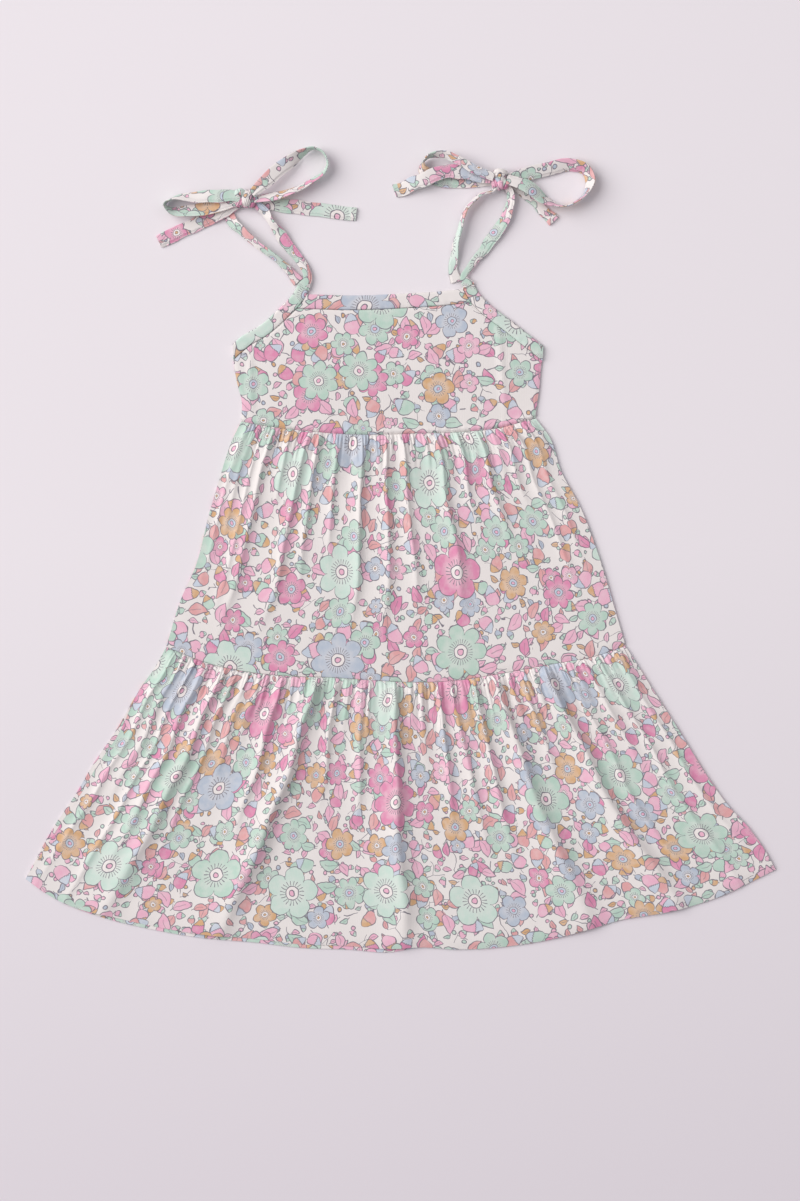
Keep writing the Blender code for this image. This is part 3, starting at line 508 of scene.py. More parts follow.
# Gathered tiers. A fold row says where its crest starts and ends, as shares of the width, how far it
# runs, its height, its half widths at the seam and at its foot, and its lean: over 0, the right flank
# is steeper. Side folds are finer ones that follow the side seams. Flat sizes are the cut of a tier's
# front half, and the print starts at a tier's start.
middleTier = {
    "name": "middle_tier_front", "flat": (410, 215), "start": (1300, 900), "grid": (560, 84),
    "gathers": {"count": 27, "seed": 4, "height": 2.3, "reach": 75}, "footShare": 0.35,
    "creases": {"count": 88, "seed": 14, "deep": 2, "reach": 42, "half": 0.66},
    "folds": [
        (0.05, 0.05, 120, 1.6, 4, 8, 0.1), (0.115, 0.103, 200, 3, 4, 9, 0.3),
        (0.175, 0.165, 75, 2.2, 4, 7, 0.2), (0.232, 0.184, 195, 3.4, 4, 9, 0.3),
        (0.268, 0.247, 150, 2.6, 3.5, 7, 0.3), (0.335, 0.31, 120, 2.6, 4, 8, 0.2),
        (0.416, 0.391, 190, 3.6, 4, 9, 0.35), (0.489, 0.472, 190, 3.2, 4, 8, 0.3),
        (0.545, 0.543, 170, 3, 3.5, 8, 0.2), (0.657, 0.65, 170, 3.6, 4.5, 10, 0.3),
        (0.727, 0.718, 85, 2.6, 4, 7, 0.2), (0.79, 0.803, 115, 3.2, 4, 8, 0.2),
        (0.87, 0.88, 80, 2.2, 4, 8, 0.1),
    ],
    "sideFolds": [
        (0.024, 0.022, 170, 1.3, 3, 4.5, 0.1), (0.084, 0.078, 180, 1.6, 3, 5, 0.2),
        (0.912, 0.926, 175, 1.5, 3, 5, 0.1), (0.955, 0.962, 150, 1.3, 3, 4.5, 0.1),
    ],
}
lowerTier = {
    "name": "lower_tier_front", "flat": (675, 245), "start": (200, 2100), "grid": (640, 74),
    "gathers": {"count": 37, "seed": 9, "height": 2.6, "reach": 95}, "footShare": 1,
    "creases": {"count": 124, "seed": 31, "deep": 2.1, "reach": 54, "half": 0.74},
    "folds": [
        (0.045, 0.04, 160, 2.2, 4, 10, 0.1), (0.092, 0.086, 230, 3.4, 4, 10, 0.3),
        (0.134, 0.11, 300, 5, 4.5, 16, 0.3), (0.188, 0.18, 110, 2.4, 4, 9, 0.2),
        (0.26, 0.236, 165, 4, 5, 13, 0.3), (0.332, 0.262, 300, 6.4, 5, 19, 0.5),
        (0.373, 0.365, 125, 2.6, 3.5, 8, 0.2), (0.428, 0.44, 140, 2.8, 3.5, 9, 0.2),
        (0.497, 0.503, 300, 5.8, 5, 18, 0.35), (0.592, 0.583, 140, 3.2, 3.5, 9, 0.2),
        (0.617, 0.645, 170, 2.6, 3.5, 11, 0.2), (0.666, 0.672, 175, 3.6, 4, 11, 0.3),
        (0.712, 0.748, 300, 5, 5, 19, 0.35), (0.768, 0.78, 110, 2.6, 4, 9, 0.2),
        (0.816, 0.864, 300, 5.2, 5, 16, 0.4), (0.905, 0.915, 120, 2.2, 4, 10, 0.1),
    ],
    "sideFolds": [
        (0.022, 0.016, 270, 1.7, 3, 4.5, 0.1), (0.068, 0.06, 290, 2, 3, 5, 0.2),
        (0.16, 0.138, 210, 1.8, 3, 6, 0.2), (0.86, 0.896, 240, 1.8, 3, 6, 0.2),
        (0.936, 0.95, 280, 2, 3, 5, 0.1), (0.974, 0.98, 250, 1.6, 3, 4.5, 0.1),
    ],
}
gatherShape = {
    "seamLift": 0.30,       # share of a gather's height that is left in the seam
    "swell": 9.0,           # depth at which it is full
    "edgeFade": 6.5,        # gathers flatten this close to a side seam
    "half": 0.30,           # half width in the seam, as a share of the spacing
    "spread": 0.035,        # what it gains for each mm that it runs down
    "footZone": 16.0,
    "rowPower": 1.4,        # over 1, the rows are closer together near the seam
    "sway": (1.6, 90.0),    # how far the ridges wander, and over what length
    "crowded": 0.4,         # a gather beside a fold is this much lower
    "creaseSwell": (0.62, 9.0), "creaseSeam": (0.45, 6.0),   # share in the seam, and full at this depth
    "creaseSpread": 0.03, "creaseFade": 0.7,
    "sunk": 0.12,           # share that is left of a valley below the lowest level
    "softWaves": (0.22, 34.0),
    "crest": (1.15, 0.68, 2.7),     # a fold's height, the broad ridge's share of it, how sharp the other is
    "seamTuck": (2.0, 0.9), "footTuck": (1.3, 1.5), "hemTuck": (1.0, 3.0),  # depth and half width
    "shell": 0.7,           # thickness of a front shell
}


# Height of gathered cloth over its lowest level: a sum of ridges exp(-(offset / half) ** 2), whose
# height swells below the seam and fades at its reach, and whose half width grows as it runs down. A fold
# is such a ridge with a narrower one on its crest, about two parts broad and one part sharp. Creases are
# narrow valleys of the same form in a swelling that follows the seam, uneven in reach and depth, and the
# deepest one counts where they meet. Soft waves make all of it uneven. Sizes are drawn at random between
# the two shares that each line gives.
def gatheredRelief(tier, across, depth, width, side):
    shape, gathers, creases = gatherShape, tier["gathers"], tier["creases"]
    rng = np.random.default_rng(gathers["seed"])
    places = np.arange(gathers["count"]) + 0.5 + rng.uniform(-0.26, 0.26, gathers["count"])
    places = places / gathers["count"]
    rng = np.random.default_rng(gathers["seed"] + 1)
    down = (depth / depth[-1])[:, None]
    swell = (shape["seamLift"] + (1 - shape["seamLift"]) * smoothStep(depth, 0, shape["swell"]))[:, None]
    spacing = 1 / len(places)
    near = np.min(np.abs(places[:, None] - np.array([row[0] for row in tier["folds"]])), axis=1)
    swayReach, swayLength = shape["sway"]
    sway = swayReach * softWaves(across[None] * 400, depth[:, None], swayLength, gathers["seed"] + 5)
    run = across[None] * width[:, None] + sway * smoothStep(down, 0.02, 0.4)
    height = np.zeros(run.shape)
    for place, gap in zip(places, near):
        reach = gathers["reach"] * rng.uniform(0.35, 1.0)
        size = gathers["height"] * rng.uniform(0.6, 1.15) * (shape["crowded"] if gap < spacing / 2 else 1)
        half = (shape["half"] * spacing * width[0] + shape["spread"] * depth)[:, None]
        offset = (run - place * width[:, None]) / half
        fade = 1 - smoothStep(depth, 0.25 * reach, reach)[:, None]
        height += size * swell * fade * ridge(offset)
    crest, broad, sharp = shape["crest"]
    for atSeam, atFoot, reach, size, halfTop, halfFoot, lean in tier["folds"] + tier["sideFolds"]:
        centre = (atSeam + (atFoot - atSeam) * down) * width[:, None]
        offset = (run - centre) / (halfTop + (halfFoot - halfTop) * down)
        offset = offset / (1 - lean * np.tanh(offset * 1.5) * smoothStep(down, 0.0, 0.3))
        fade = 1 - smoothStep(depth, 0.5 * reach, reach)[:, None]
        form = broad * ridge(offset) + (1 - broad) * ridge(sharp * offset)
        height += crest * size * swell * fade * form
    rng = np.random.default_rng(creases["seed"])
    swelling, seamShare = [share + (1 - share) * smoothStep(depth, 0, full)
                           for share, full in (shape["creaseSwell"], shape["creaseSeam"])]
    swelling = swelling * (1 - smoothStep(depth, 0.3 * creases["reach"], 1.4 * creases["reach"]))
    valley = np.zeros(run.shape)
    for number in range(creases["count"]):
        place = (number + rng.uniform(0.15, 0.85)) / creases["count"]
        reach, size = creases["reach"] * rng.uniform(0.2, 1.0), rng.uniform(0.35, 1.1)
        rows = depth < reach
        slide = rng.uniform(-0.10, 0.10) * depth[rows, None]
        half = creases["half"] * rng.uniform(0.8, 1.5) + shape["creaseSpread"] * depth[rows, None]
        offset = (run[rows] - place * width[rows, None] - slide) / half
        cut = size * (1 - depth[rows, None] / reach) ** shape["creaseFade"] * ridge(offset)
        valley[rows] = np.maximum(valley[rows], cut)
    height += creases["deep"] * (swelling[:, None] - valley * seamShare[:, None])
    height = np.maximum(height, shape["sunk"] * height)
    softHeight, softLength = shape["softWaves"]
    soft = 1 + softWaves(run, depth[:, None], softLength, creases["seed"] + 3)
    height += softHeight * soft * smoothStep(depth, 10, 60)[:, None]
    ends = 1 - ridge(side, shape["edgeFade"])
    foot = 1 - (1 - tier["footShare"]) * smoothStep(depth, depth[-1] - shape["footZone"], depth[-1])
    return height * ends * foot[:, None]


# A side seam whose ends are the ends of the seams above and below it
def sideSeam(rows, top, foot, end):
    return [tuple(top[end])] + list(rows[1:-1]) + [tuple(foot[end])]


# The plan of a tier: rows from its upper seam to its foot, closer together near the seam
def tierPlan(top, foot, left, right, columns, rows):
    across = np.linspace(0, 1, columns)
    down = np.linspace(0, 1, rows) ** gatherShape["rowPower"]
    left, right = sideSeam(left, top, foot, 0), sideSeam(right, top, foot, -1)
    plan = coonsPatch(smoothLine(top, across), smoothLine(foot, across), smoothLine(left, down),
                      smoothLine(right, down), across, down)
    return plan, across, down * runLengths(np.array(left))[-1], *rowWidths(plan, across)


# A front tier: its plan, raised by the relief, its edges tucked down into the seams by
# depth * exp(-(distance / half) ** 2)
def frontTier(tier, top, foot, left, right, rest):
    plan, across, depth, width, side = tierPlan(top, foot, left, right, *tier["grid"])
    relief = gatheredRelief(tier, across, depth, width, side)
    seamTuck, seamHalf = gatherShape["seamTuck"]
    footTuck, footHalf = gatherShape["footTuck" if tier["footShare"] < 1 else "hemTuck"]
    tuck = seamTuck * ridge(depth, seamHalf) + footTuck * ridge(depth[-1] - depth, footHalf)
    height = layers["frontFloor"] + layers["cloth"] + relief - tuck[:, None]
    upper = np.dstack([plan, np.maximum(height, seamLevel)])
    place = flatPlace(upper, tier["flat"], tier["start"])
    lower = lowerSide(upper, gatherShape["shell"])
    piece = clothShell(tier["name"], upper, lower, place, bodyJersey)


backTiers = {"grid": (170, 50), "creases": 46, "creaseDepth": 0.55, "half": 1.6, "spread": 0.012,
             "printStep": 3000}


# A back tier: its upper side level, its underside lying on the surface between shallow creases,
# which are troughs exp(-(offset / half) ** 2) that run down from the seam
def backTier(name, tier, top, foot, left, right, seed):
    shape = backTiers
    plan, across, depth, width, _ = tierPlan(top, foot, left, right, *shape["grid"])
    rng = np.random.default_rng(seed)
    trough = np.zeros(plan.shape[:2])
    for number in range(shape["creases"]):
        place = (number + rng.uniform(0.15, 0.85)) / shape["creases"]
        reach = depth[-1] * rng.uniform(0.15, 0.95)
        offset = (across[None] - place) * width[:, None] / (shape["half"] + shape["spread"] * depth[:, None])
        fade = 1 - smoothStep(depth, 0.3 * reach, reach)[:, None]
        trough += rng.uniform(0.4, 1.0) * fade * ridge(offset)
    lower = np.dstack([plan, np.clip(trough, 0, 1) * shape["creaseDepth"]])
    upper = np.dstack([plan, np.full(trough.shape, layers["backTop"])])
    place = flatPlace(upper, tier["flat"], (tier["start"][0] + shape["printStep"], tier["start"][1]))
    piece = clothShell(name, upper, lower, place, bodyJersey)


# Where the back panel shows beyond the front: a drop along part of the hem, and rows of the left side
# moved out
backShows = {"hemDrop": 3.0, "hemFrom": -250.0, "hemTo": 10.0,
             "side": [(0.0, 0.0)] * 3 + [(-3.5, 1.4)] * 4 + [(0.0, 0.0)]}
waistBelow = shifted(outline["waist"], -layers["seamGap"] / 2)
seamAbove = shifted(outline["tierSeam"], layers["seamGap"] / 2)
seamBelow = shifted(outline["tierSeam"], -layers["seamGap"] / 2)
backHem = [(x, y - backShows["hemDrop"] * (backShows["hemFrom"] < x < backShows["hemTo"]))
           for x, y in outline["hem"]]
backLeft = [(x + out, y + up) for (x, y), (out, up) in zip(outline["lowerLeft"], backShows["side"])]
middleEdges = (waistBelow, seamAbove, outline["middleLeft"], outline["middleRight"])
lowerEdges = (seamBelow, outline["hem"], outline["lowerLeft"], outline["lowerRight"])
frontTier(middleTier, *middleEdges, "middle_tier_back")
frontTier(lowerTier, *lowerEdges, "lower_tier_back")
backTier("middle_tier_back", middleTier, *middleEdges, 51)
backTier("lower_tier_back", lowerTier, seamBelow, backHem, backLeft, outline["lowerRight"], 52)
print("tiers made")


# For each side: the armhole's edge, the side seam, the sign of the turn inwards, and how far the strip's
# mitred end runs on along the seam, as a share of its depth
armholes = {
    "left": ("armholeLeft", "bodiceLeft", 1, 0.83),
    "right": ("armholeRight", "bodiceRight", -1, 0.72),
}
fineSteps = 241


# An armhole's outer edge moved in by a distance. Over its last quarter it swings over to its mitred end.
def armholeLine(hand, distance, steps=fineSteps):
    rows, _, turn, mitre = armholes[hand]
    line = inset(smoothLine(outline[rows], np.linspace(0, 1, steps)), turn * distance)
    end = line[-1] + unitVectors(line[-1] - line[-2]) * distance * mitre
    share = smoothStep(np.linspace(0, 1, steps), 0.75, 1.0)[:, None]
    return line + share * (end - line[-1])


# Points at shares of a line's length
def resample(line, shares):
    steps = runLengths(line)
    return np.stack([np.interp(shares * steps[-1], steps, values) for values in line.T], axis=1)


bodice = {
    "grid": (300, 60, 44),      # columns, rows beside the armholes, rows beside the side seams
    "backGrid": (90, 20, 16),
    "flat": (0.285, 0.13), "area": 0.0262,      # the cut, in metres
    "start": (700.0, 300.0), "backStart": (4700.0, 300.0),
    "shell": 0.7, "backCrease": 0.3,
    "crown": 1.2, "crownEdge": 26.0,
    "roll": (0.4, 3.2, 1.8),    # height, place above the waist, half width
    "waistTuck": (1.4, 1.0), "neckTuck": (0.5, 1.6), "sideTuck": (0.55, 1.6),   # depth and half width
    "puckers": {"count": 62, "seed": 77, "height": 0.4, "reach": 14.0, "half": 1.5},
    # Soft ridges where the cloth stands off the seams: x and y at the top and the foot, height, half width
    "ridges": [(-131.0, 168.0, -129.5, 116.0, 0.9, 3.2), (84.0, 205.0, 91.0, 118.0, 0.9, 3.4),
               (-60.0, 196.0, -66.0, 120.0, 0.25, 14.0), (20.0, 200.0, 24.0, 118.0, 0.25, 15.0)],
}


# The bodice's plan: the neck line above, the waist below, armhole and side seam at each side
def bodicePlan(columns, upperRows, lowerRows):
    gap = layers["seamGap"]
    neck = smoothLine(outline["neck"], np.linspace(0, 1, fineSteps))
    neck = neck - [0, layers["neckDepth"] + gap]
    edges = []
    for hand, (_, seam, _, _) in armholes.items():
        inner = armholeLine(hand, layers["armholeDepth"] + gap)
        inner = inner[inner[:, 1] < np.interp(inner[:, 0], neck[:, 0], neck[:, 1])]
        side = smoothLine(outline[seam], np.linspace(0, 1, fineSteps))
        corner = np.argmin(np.linalg.norm(side - inner[-1], axis=1))
        upper = resample(inner, np.linspace(0, 1, upperRows))
        shares = 1 - (1 - np.linspace(0, 1, lowerRows + 1)) ** 1.3
        lower = resample(np.concatenate([inner[-1:], side[corner + 2:]]), shares)
        edges.append(np.concatenate([upper, lower[1:]]))
    across = np.linspace(0, 1, columns)
    neckX = edges[0][0, 0] + (edges[1][0, 0] - edges[0][0, 0]) * across
    top = np.stack([neckX, np.interp(neckX, neck[:, 0], neck[:, 1])], axis=1)
    top[0], top[-1] = edges[0][0], edges[1][0]
    foot = smoothLine(shifted(outline["waist"], gap / 2), across)
    edges[0][-1], edges[1][-1] = foot[0], foot[-1]
    depth = runLengths(edges[0])
    plan = coonsPatch(top, foot, edges[0], edges[1], across, depth / depth[-1])
    return plan, across, depth


# Height of the bodice front: a low crown that falls off towards the sides, ridges
# exp(-(offset / half) ** 2) along straight lines, puckers above the waist seam, edges tucked down into
# the seams, and a low roll of cloth just above the waist
def bodiceRelief(plan, across, depth):
    width, side = rowWidths(plan, across)
    arch = np.sin(np.pi * np.clip(depth / depth[-1], 0.06, 0.94))[:, None]
    height = bodice["crown"] * (1 - ridge(side, bodice["crownEdge"])) * arch
    for x0, y0, x1, y1, size, half in bodice["ridges"]:
        run = (y0 - plan[..., 1]) / (y0 - y1)
        form = ridge(plan[..., 0] - x0 - (x1 - x0) * run, half)
        height += size * form * smoothStep(run, -0.15, 0.2) * (1 - smoothStep(run, 0.75, 1.1))
    up = depth[-1] - depth
    puckers = bodice["puckers"]
    rng = np.random.default_rng(puckers["seed"])
    for number in range(puckers["count"]):
        place = (number + rng.uniform(0.1, 0.9)) / puckers["count"]
        reach = puckers["reach"] * rng.uniform(0.3, 1.0)
        lift = np.clip(1 - up / reach, 0, 1)[:, None] * puckers["height"] * rng.uniform(0.3, 1.0)
        height += lift * ridge((across[None] - place) * width[:, None], puckers["half"])
    height += 0.12 * (1 + softWaves(plan[..., 0], plan[..., 1], 40, 8))
    rollHeight, rollAt, rollHalf = bodice["roll"]
    edge = rollHeight * ridge(up - rollAt, rollHalf)
    for name, away in (("waistTuck", up), ("neckTuck", depth)):
        edge = edge - bodice[name][0] * ridge(away, bodice[name][1])
    return height + edge[:, None] - bodice["sideTuck"][0] * ridge(side, bodice["sideTuck"][1])


# The bodice's front, raised by the relief, and its back, level with soft creases on its underside
def makeBodice():
    plan, across, depth = bodicePlan(*bodice["grid"])
    height = layers["frontFloor"] + layers["cloth"] + bodiceRelief(plan, across, depth)
    upper = np.dstack([plan, np.maximum(height, seamLevel)])
    lower = lowerSide(upper, bodice["shell"])
    front = clothShell("bodice_front", upper, lower, plan + bodice["start"], bodyJersey)
    plan = bodicePlan(*bodice["backGrid"])[0]
    upper = np.dstack([plan, np.full(plan.shape[:2], layers["backTop"])])
    crease = bodice["backCrease"] * np.clip(softWaves(plan[..., 0], plan[..., 1], 45, 12), 0, 1)
    lower = np.dstack([plan, crease])
    back = clothShell("bodice_back", upper, lower, plan + bodice["backStart"], bodyJersey)


makeBodice()
print("bodice made")


binding = {
    "thick": 1.8, "backThick": 0.9,
    "rows": 16, "columns": 220,
    "groove": 0.22, "grooveAt": 0.86, "grooveHalf": 0.05,   # depth, and place and half width as shares
    "pucker": 0.14, "puckerLength": 6.0, "swell": 0.12, "swellLength": 40.0,
    "starts": {"left": (500, 3100), "right": (900, 3100), "neck": (1400, 3300)},    # of the print
}


# A strip folded over an edge. Across its depth, s from 0 to 1, the upper side follows a superellipse,
# (1 - |2s - 1| ** 7) ** 0.5. On the front it has a shallow groove along the sewn edge, with small puckers
# beside it.
def bindingStrip(name, plan, base, thick, start, flatDepth):
    along, share = np.meshgrid(runLengths(plan[0]), np.linspace(0, 1, binding["rows"]))
    profile = (1 - np.abs(2 * share - 1) ** 7) ** 0.5
    height = thick * (0.35 + 0.65 * profile)
    if base > 0:
        height = height - binding["groove"] * ridge(share - binding["grooveAt"], binding["grooveHalf"])
        ripple = softWaves(along, share * 3, binding["puckerLength"], len(name))
        height = height + binding["pucker"] * ripple * smoothStep(share, 0.35, 0.9)
        swell = softWaves(along, share * 10, binding["swellLength"], len(name) + 2)
        height = height + binding["swell"] * swell
    upper = np.dstack([plan, base + height])
    lower = np.dstack([plan, np.full(height.shape, base)])
    place = np.dstack([start[0] + along, start[1] - flatDepth * share])
    piece = clothShell(name, upper, lower, place, stripJersey)
    return along[0, -1]


# Where the print stands at the top of each armhole strip, so that it runs on into the tie
stripStart, stripTurn = {}, {}


# The armhole strips and the neck binding of the front and of the back. An armhole strip is a set of
# lines at shares of its depth inside the armhole's edge, and the neck binding is the same below the neck,
# between the armhole strips.
def makeBindings():
    rows, columns = binding["rows"], binding["columns"]
    depths = np.linspace(0, 1, rows)
    halves = (("front", layers["frontFloor"], binding["thick"]), ("back", 0.0, binding["backThick"]))
    for half, base, thick in halves:
        limits = []
        for hand, (_, _, turn, _) in armholes.items():
            limits.append(armholeLine(hand, layers["armholeDepth"] + layers["seamGap"]))
            lines = np.stack([armholeLine(hand, layers["armholeDepth"] * s, columns) for s in depths])
            start = binding["starts"][hand]
            name = "armhole_binding_%s_%s" % (half, hand)
            length = bindingStrip(name, lines[:, ::-turn], base, thick, start, layers["armholeDepth"])
            endAt = start[0] + length * (hand == "left")
            stripStart[hand] = np.array([endAt, start[1] - layers["armholeDepth"]])
            stripTurn[hand] = -turn
        neck = smoothLine(outline["neck"], np.linspace(0, 1, fineSteps))
        lines = []
        for share in depths:
            ends = []
            for line in limits:
                level = np.interp(line[:, 0], neck[:, 0], neck[:, 1]) - layers["neckDepth"] * share
                ends.append(line[np.argmin(np.abs(line[:, 1] - level)), 0])
            x = np.linspace(ends[0], ends[1], columns)
            y = np.interp(x, neck[:, 0], neck[:, 1]) - layers["neckDepth"] * share
            lines.append(np.stack([x, y], axis=1))
        start = binding["starts"]["neck"]
        bindingStrip("neck_binding_" + half, np.stack(lines), base, thick, start, layers["neckDepth"])


makeBindings()
print("bindings made")


# Ties. Each row is a place on the strip's middle line: x, y, z, and tilt in degrees, where 0 lies flat
# and 90 stands on its edge. A strip never goes lower than the surface that it lies on.
knots = {"left": ((-133.8, 303.6, 6.2), (6.4, 8.6, 6.0)), "right": ((86.4, 320.4, 6.4), (7.4, 9.4, 6.2))}
ties = {
    "front_strand_left": [
        (-133.8, 303.6, 3.4, 0), (-126, 300, 3.4, 4), (-119, 293.6, 3.6, 14), (-113, 285, 0, 50),
        (-106, 275.4, 0, 22), (-98, 263.6, 0, 8), (-88.6, 252.6, 1.6, 4), (-82.2, 242.8, 3.1, 0),
        (-81, 234.6, 3.4, 0),
    ],
    "back_strand_left": [
        (-133.8, 303.6, 0, 0), (-143.4, 298.6, 0, 0), (-148.8, 292.4, 0, 0), (-147.2, 285.6, 0, 10),
        (-140.2, 277.8, 0, 36), (-130.8, 269.4, 0, 46), (-119.8, 260.6, 0, 50), (-108, 251.6, 0, 54),
        (-98.4, 243, 0, 24), (-92.8, 237, 0, 4), (-88.6, 232, 0, 0),
    ],
    "front_strand_right": [
        (86.4, 320.4, 2, 30), (94.6, 311, 2, 35), (95.8, 302.5, 2, 36), (92.6, 290.5, 0, 24),
        (83, 274, 0, 14), (71, 257.8, 2, 6), (60.4, 244.4, 3.2, 0), (55.4, 235.6, 3.2, 0),
    ],
    "back_strand_right": [
        (86.4, 320.4, 0, 56), (79, 310.4, 0, 60), (70.4, 307.4, 0, 64), (61, 300.4, 0, 66),
        (53.4, 285, 0, 62), (48.6, 266, 0, 48), (46.2, 251.6, 0, 20), (46.2, 240, 0, 2), (48.6, 232, 0, 0),
    ],
    "bow_loop_outer_left": [
        (-133.8, 303.6, 9, 6), (-145, 305.6, 9.1, 8), (-162, 305.4, 9, 14), (-181, 304.6, 8, 40),
        (-198.6, 303.2, 6.6, 78), (-204.6, 298.4, 6.4, 98), (-199.4, 293.4, 6, 122),
        (-184, 293.2, 5.6, 150), (-166, 296, 5.8, 164), (-150, 299.8, 6.3, 172), (-133.8, 303, 6.3, 174),
    ],
    "bow_loop_inner_left": [
        (-133.8, 303.6, 10, 4), (-122.8, 312.6, 10, 4), (-113, 321.6, 9.6, 6), (-104.2, 329.6, 8.8, 10),
        (-94.6, 336.8, 7.8, 26), (-85, 343, 6.8, 58), (-75.4, 347.4, 6.4, 86), (-66.6, 343.4, 6.4, 90),
        (-63.6, 333.6, 6.2, 82), (-68, 325.4, 6, 66), (-81, 317, 6, 60), (-95.6, 309.6, 6.8, 52),
        (-112, 305.2, 6.8, 34), (-133.8, 302.6, 6.2, 20),
    ],
    "bow_tail_outer_left": [
        (-133.8, 303.6, 3.5, 0), (-146.6, 297.2, 3.5, 0), (-157.4, 291.6, 3.3, 0), (-172, 284.6, 0, 0),
        (-192, 275.4, 0, 0), (-210.2, 266.8, 0, 0),
    ],
    "bow_tail_inner_left": [
        (-133.8, 300.6, 0, 0), (-120, 300.8, 0, 0), (-100, 298.2, 0, 0), (-76, 295.4, 0, 0),
        (-55, 292.4, 0, 0), (-38.6, 290.4, 0, 0),
    ],
    "bow_loop_outer_right": [
        (86.4, 320.4, 10.2, 0), (74, 324.2, 10.4, -4), (62, 330, 10.6, -10), (48.6, 337.4, 10.6, -20),
        (34.6, 341.6, 8.4, -48), (24.4, 339.6, 6.6, -76), (19.6, 334.4, 6.4, -102),
        (20.6, 329.4, 4.4, -142), (25.6, 324.4, 0, -174), (34, 320.6, 0, -180), (52, 319.4, 0, -180),
        (68, 319.8, 0, -180), (86.4, 320.4, 0, -180),
    ],
    "bow_loop_inner_right": [
        (86.4, 320.4, 5.6, 8), (100, 322.8, 5.4, 12), (114, 326.4, 4.6, 10), (132, 330.6, 4, 18),
        (148, 333.4, 4.6, 34), (160.6, 329, 5.4, 46), (165, 319.6, 5.6, 50), (161, 308.6, 6.4, 72),
        (150, 299.6, 6.9, 86), (139, 297.4, 6.8, 80), (128, 300.6, 6.6, 52), (114, 311.4, 8.6, 22),
        (100, 318, 9.6, 10), (86.4, 321, 9.6, 4),
    ],
    "bow_tail_outer_right": [
        (86.4, 320.4, 5.8, 0), (73.4, 322, 5.8, 0), (58.6, 326, 6, 0), (42, 327.4, 6.6, 0), (29, 324, 8, 0),
        (20.6, 320.2, 8, 0), (11, 316.4, 5.4, 0), (3.4, 313.6, 2.4, 0), (-5.2, 310.6, 0, 0),
    ],
    "bow_tail_inner_right": [
        (86.4, 320.4, 0, 0), (99, 315.8, 0, 0), (109, 308.8, 0, 0), (121, 297.6, 0, 0),
        (133.4, 284.6, 0, 0),
    ],
}
tieStrip = {
    "width": 12.0, "thick": 1.7, "floorGap": 0.1, "step": 1.4, "sides": 48,
    "acrossPower": 0.7, "throughPower": 0.4,    # of the section's cosine and sine
    "intoKnot": 0.80,           # a strip ends this share of the knot's size from its middle
    "squeeze": 0.26,            # how much narrower it is at the knot
    "squeezeRun": 12.0,         # and over what length
    "pleat": 0.8, "pleatHalf": 0.3,     # depth of the pleat that the knot presses into it, and half width
    "ledge": 0.55,              # drop from the upper layer's edge to the lower layer that shows beside it
    "ledgeAt": 0.66,            # where that is, as a share of the half width
    "pucker": 0.20, "puckerLength": 5.5,
    "uneven": (0.05, 22.0), "sway": (0.5, 17.0),     # share of the width, shift in mm, and their lengths
    "hem": 5.6, "hemThick": 2.6, "hemNarrower": 0.12, "hemGroove": 0.5, "hemGrooveHalf": 0.9,
    "printStart": 3600, "printStep": 260, "hemPrint": (70.0, 33.0),
}
# Where a tie is drawn together by its folding: shares of its length, and of its width
tieWidths = {
    "front_strand_left": [
        (0, 0.75), (0.3, 0.66), (0.45, 0.86), (0.64, 0.74), (0.82, 0.58), (0.93, 0.66), (1, 1),
    ],
    "back_strand_left": [(0, 0.85), (0.3, 0.78), (0.7, 0.72), (0.9, 0.62), (1, 0.9)],
    "front_strand_right": [
        (0, 0.72), (0.2, 0.76), (0.4, 0.88), (0.6, 0.78), (0.74, 0.54), (0.86, 0.46), (0.94, 0.62), (1, 1),
    ],
    "back_strand_right": [(0, 0.68), (0.5, 0.62), (0.75, 0.6), (0.88, 0.62), (1, 0.85)],
    "bow_loop_inner_left": [(0, 0.85), (0.12, 1.05), (0.3, 0.95), (0.45, 0.8), (0.75, 0.85), (1, 0.8)],
    "bow_loop_outer_right": [(0, 0.85), (0.1, 0.66), (0.34, 0.62), (0.46, 0.8), (0.6, 1), (1, 1)],
    "bow_tail_inner_right": [(0, 0.9), (0.5, 0.74), (0.85, 0.78), (1, 1)],
}


# 1 on a knot's outline as seen from above, more outside it: the cube norm of the offset over the half
# sizes
def knotLevel(points, hand):
    centre, half = knots[hand]
    offset = (points[:, :2] - np.array(centre[:2])) / np.array(half[:2])
    return (np.abs(offset) ** 3).sum(axis=-1) ** (1 / 3)


stitch = {"pitch": 3.1, "length": 1.9, "width": 0.42, "height": 0.36,
          "at": 0.52, "endGap": 1.5,    # how far out, as a share of the half width, and how far from the ends
          "colour": "#f1ebea", "roughness": 0.5}


# Stitches at places: each is a double pyramid, its six corners half a length, width and height either
# way along three directions, none below the surface
def addStitches(found, at, along, side, face):
    points, faces = found
    corners = [along * stitch["length"] / 2, side * stitch["width"] / 2, face * stitch["height"] / 2]
    first = sum(len(p) for p in points) + 6 * np.arange(len(at))[:, None, None]
    new = np.stack([at + turn * c for c in corners for turn in (1, -1)], axis=1).reshape(-1, 3)
    new[:, 2] = np.maximum(new[:, 2], 0.01)
    points.append(new)
    shape = [(0, 2, 4), (2, 1, 4), (1, 3, 4), (3, 0, 4), (2, 0, 5), (1, 2, 5), (3, 1, 5), (0, 3, 5)]
    faces.append((np.array(shape) + first).reshape(-1, 3))


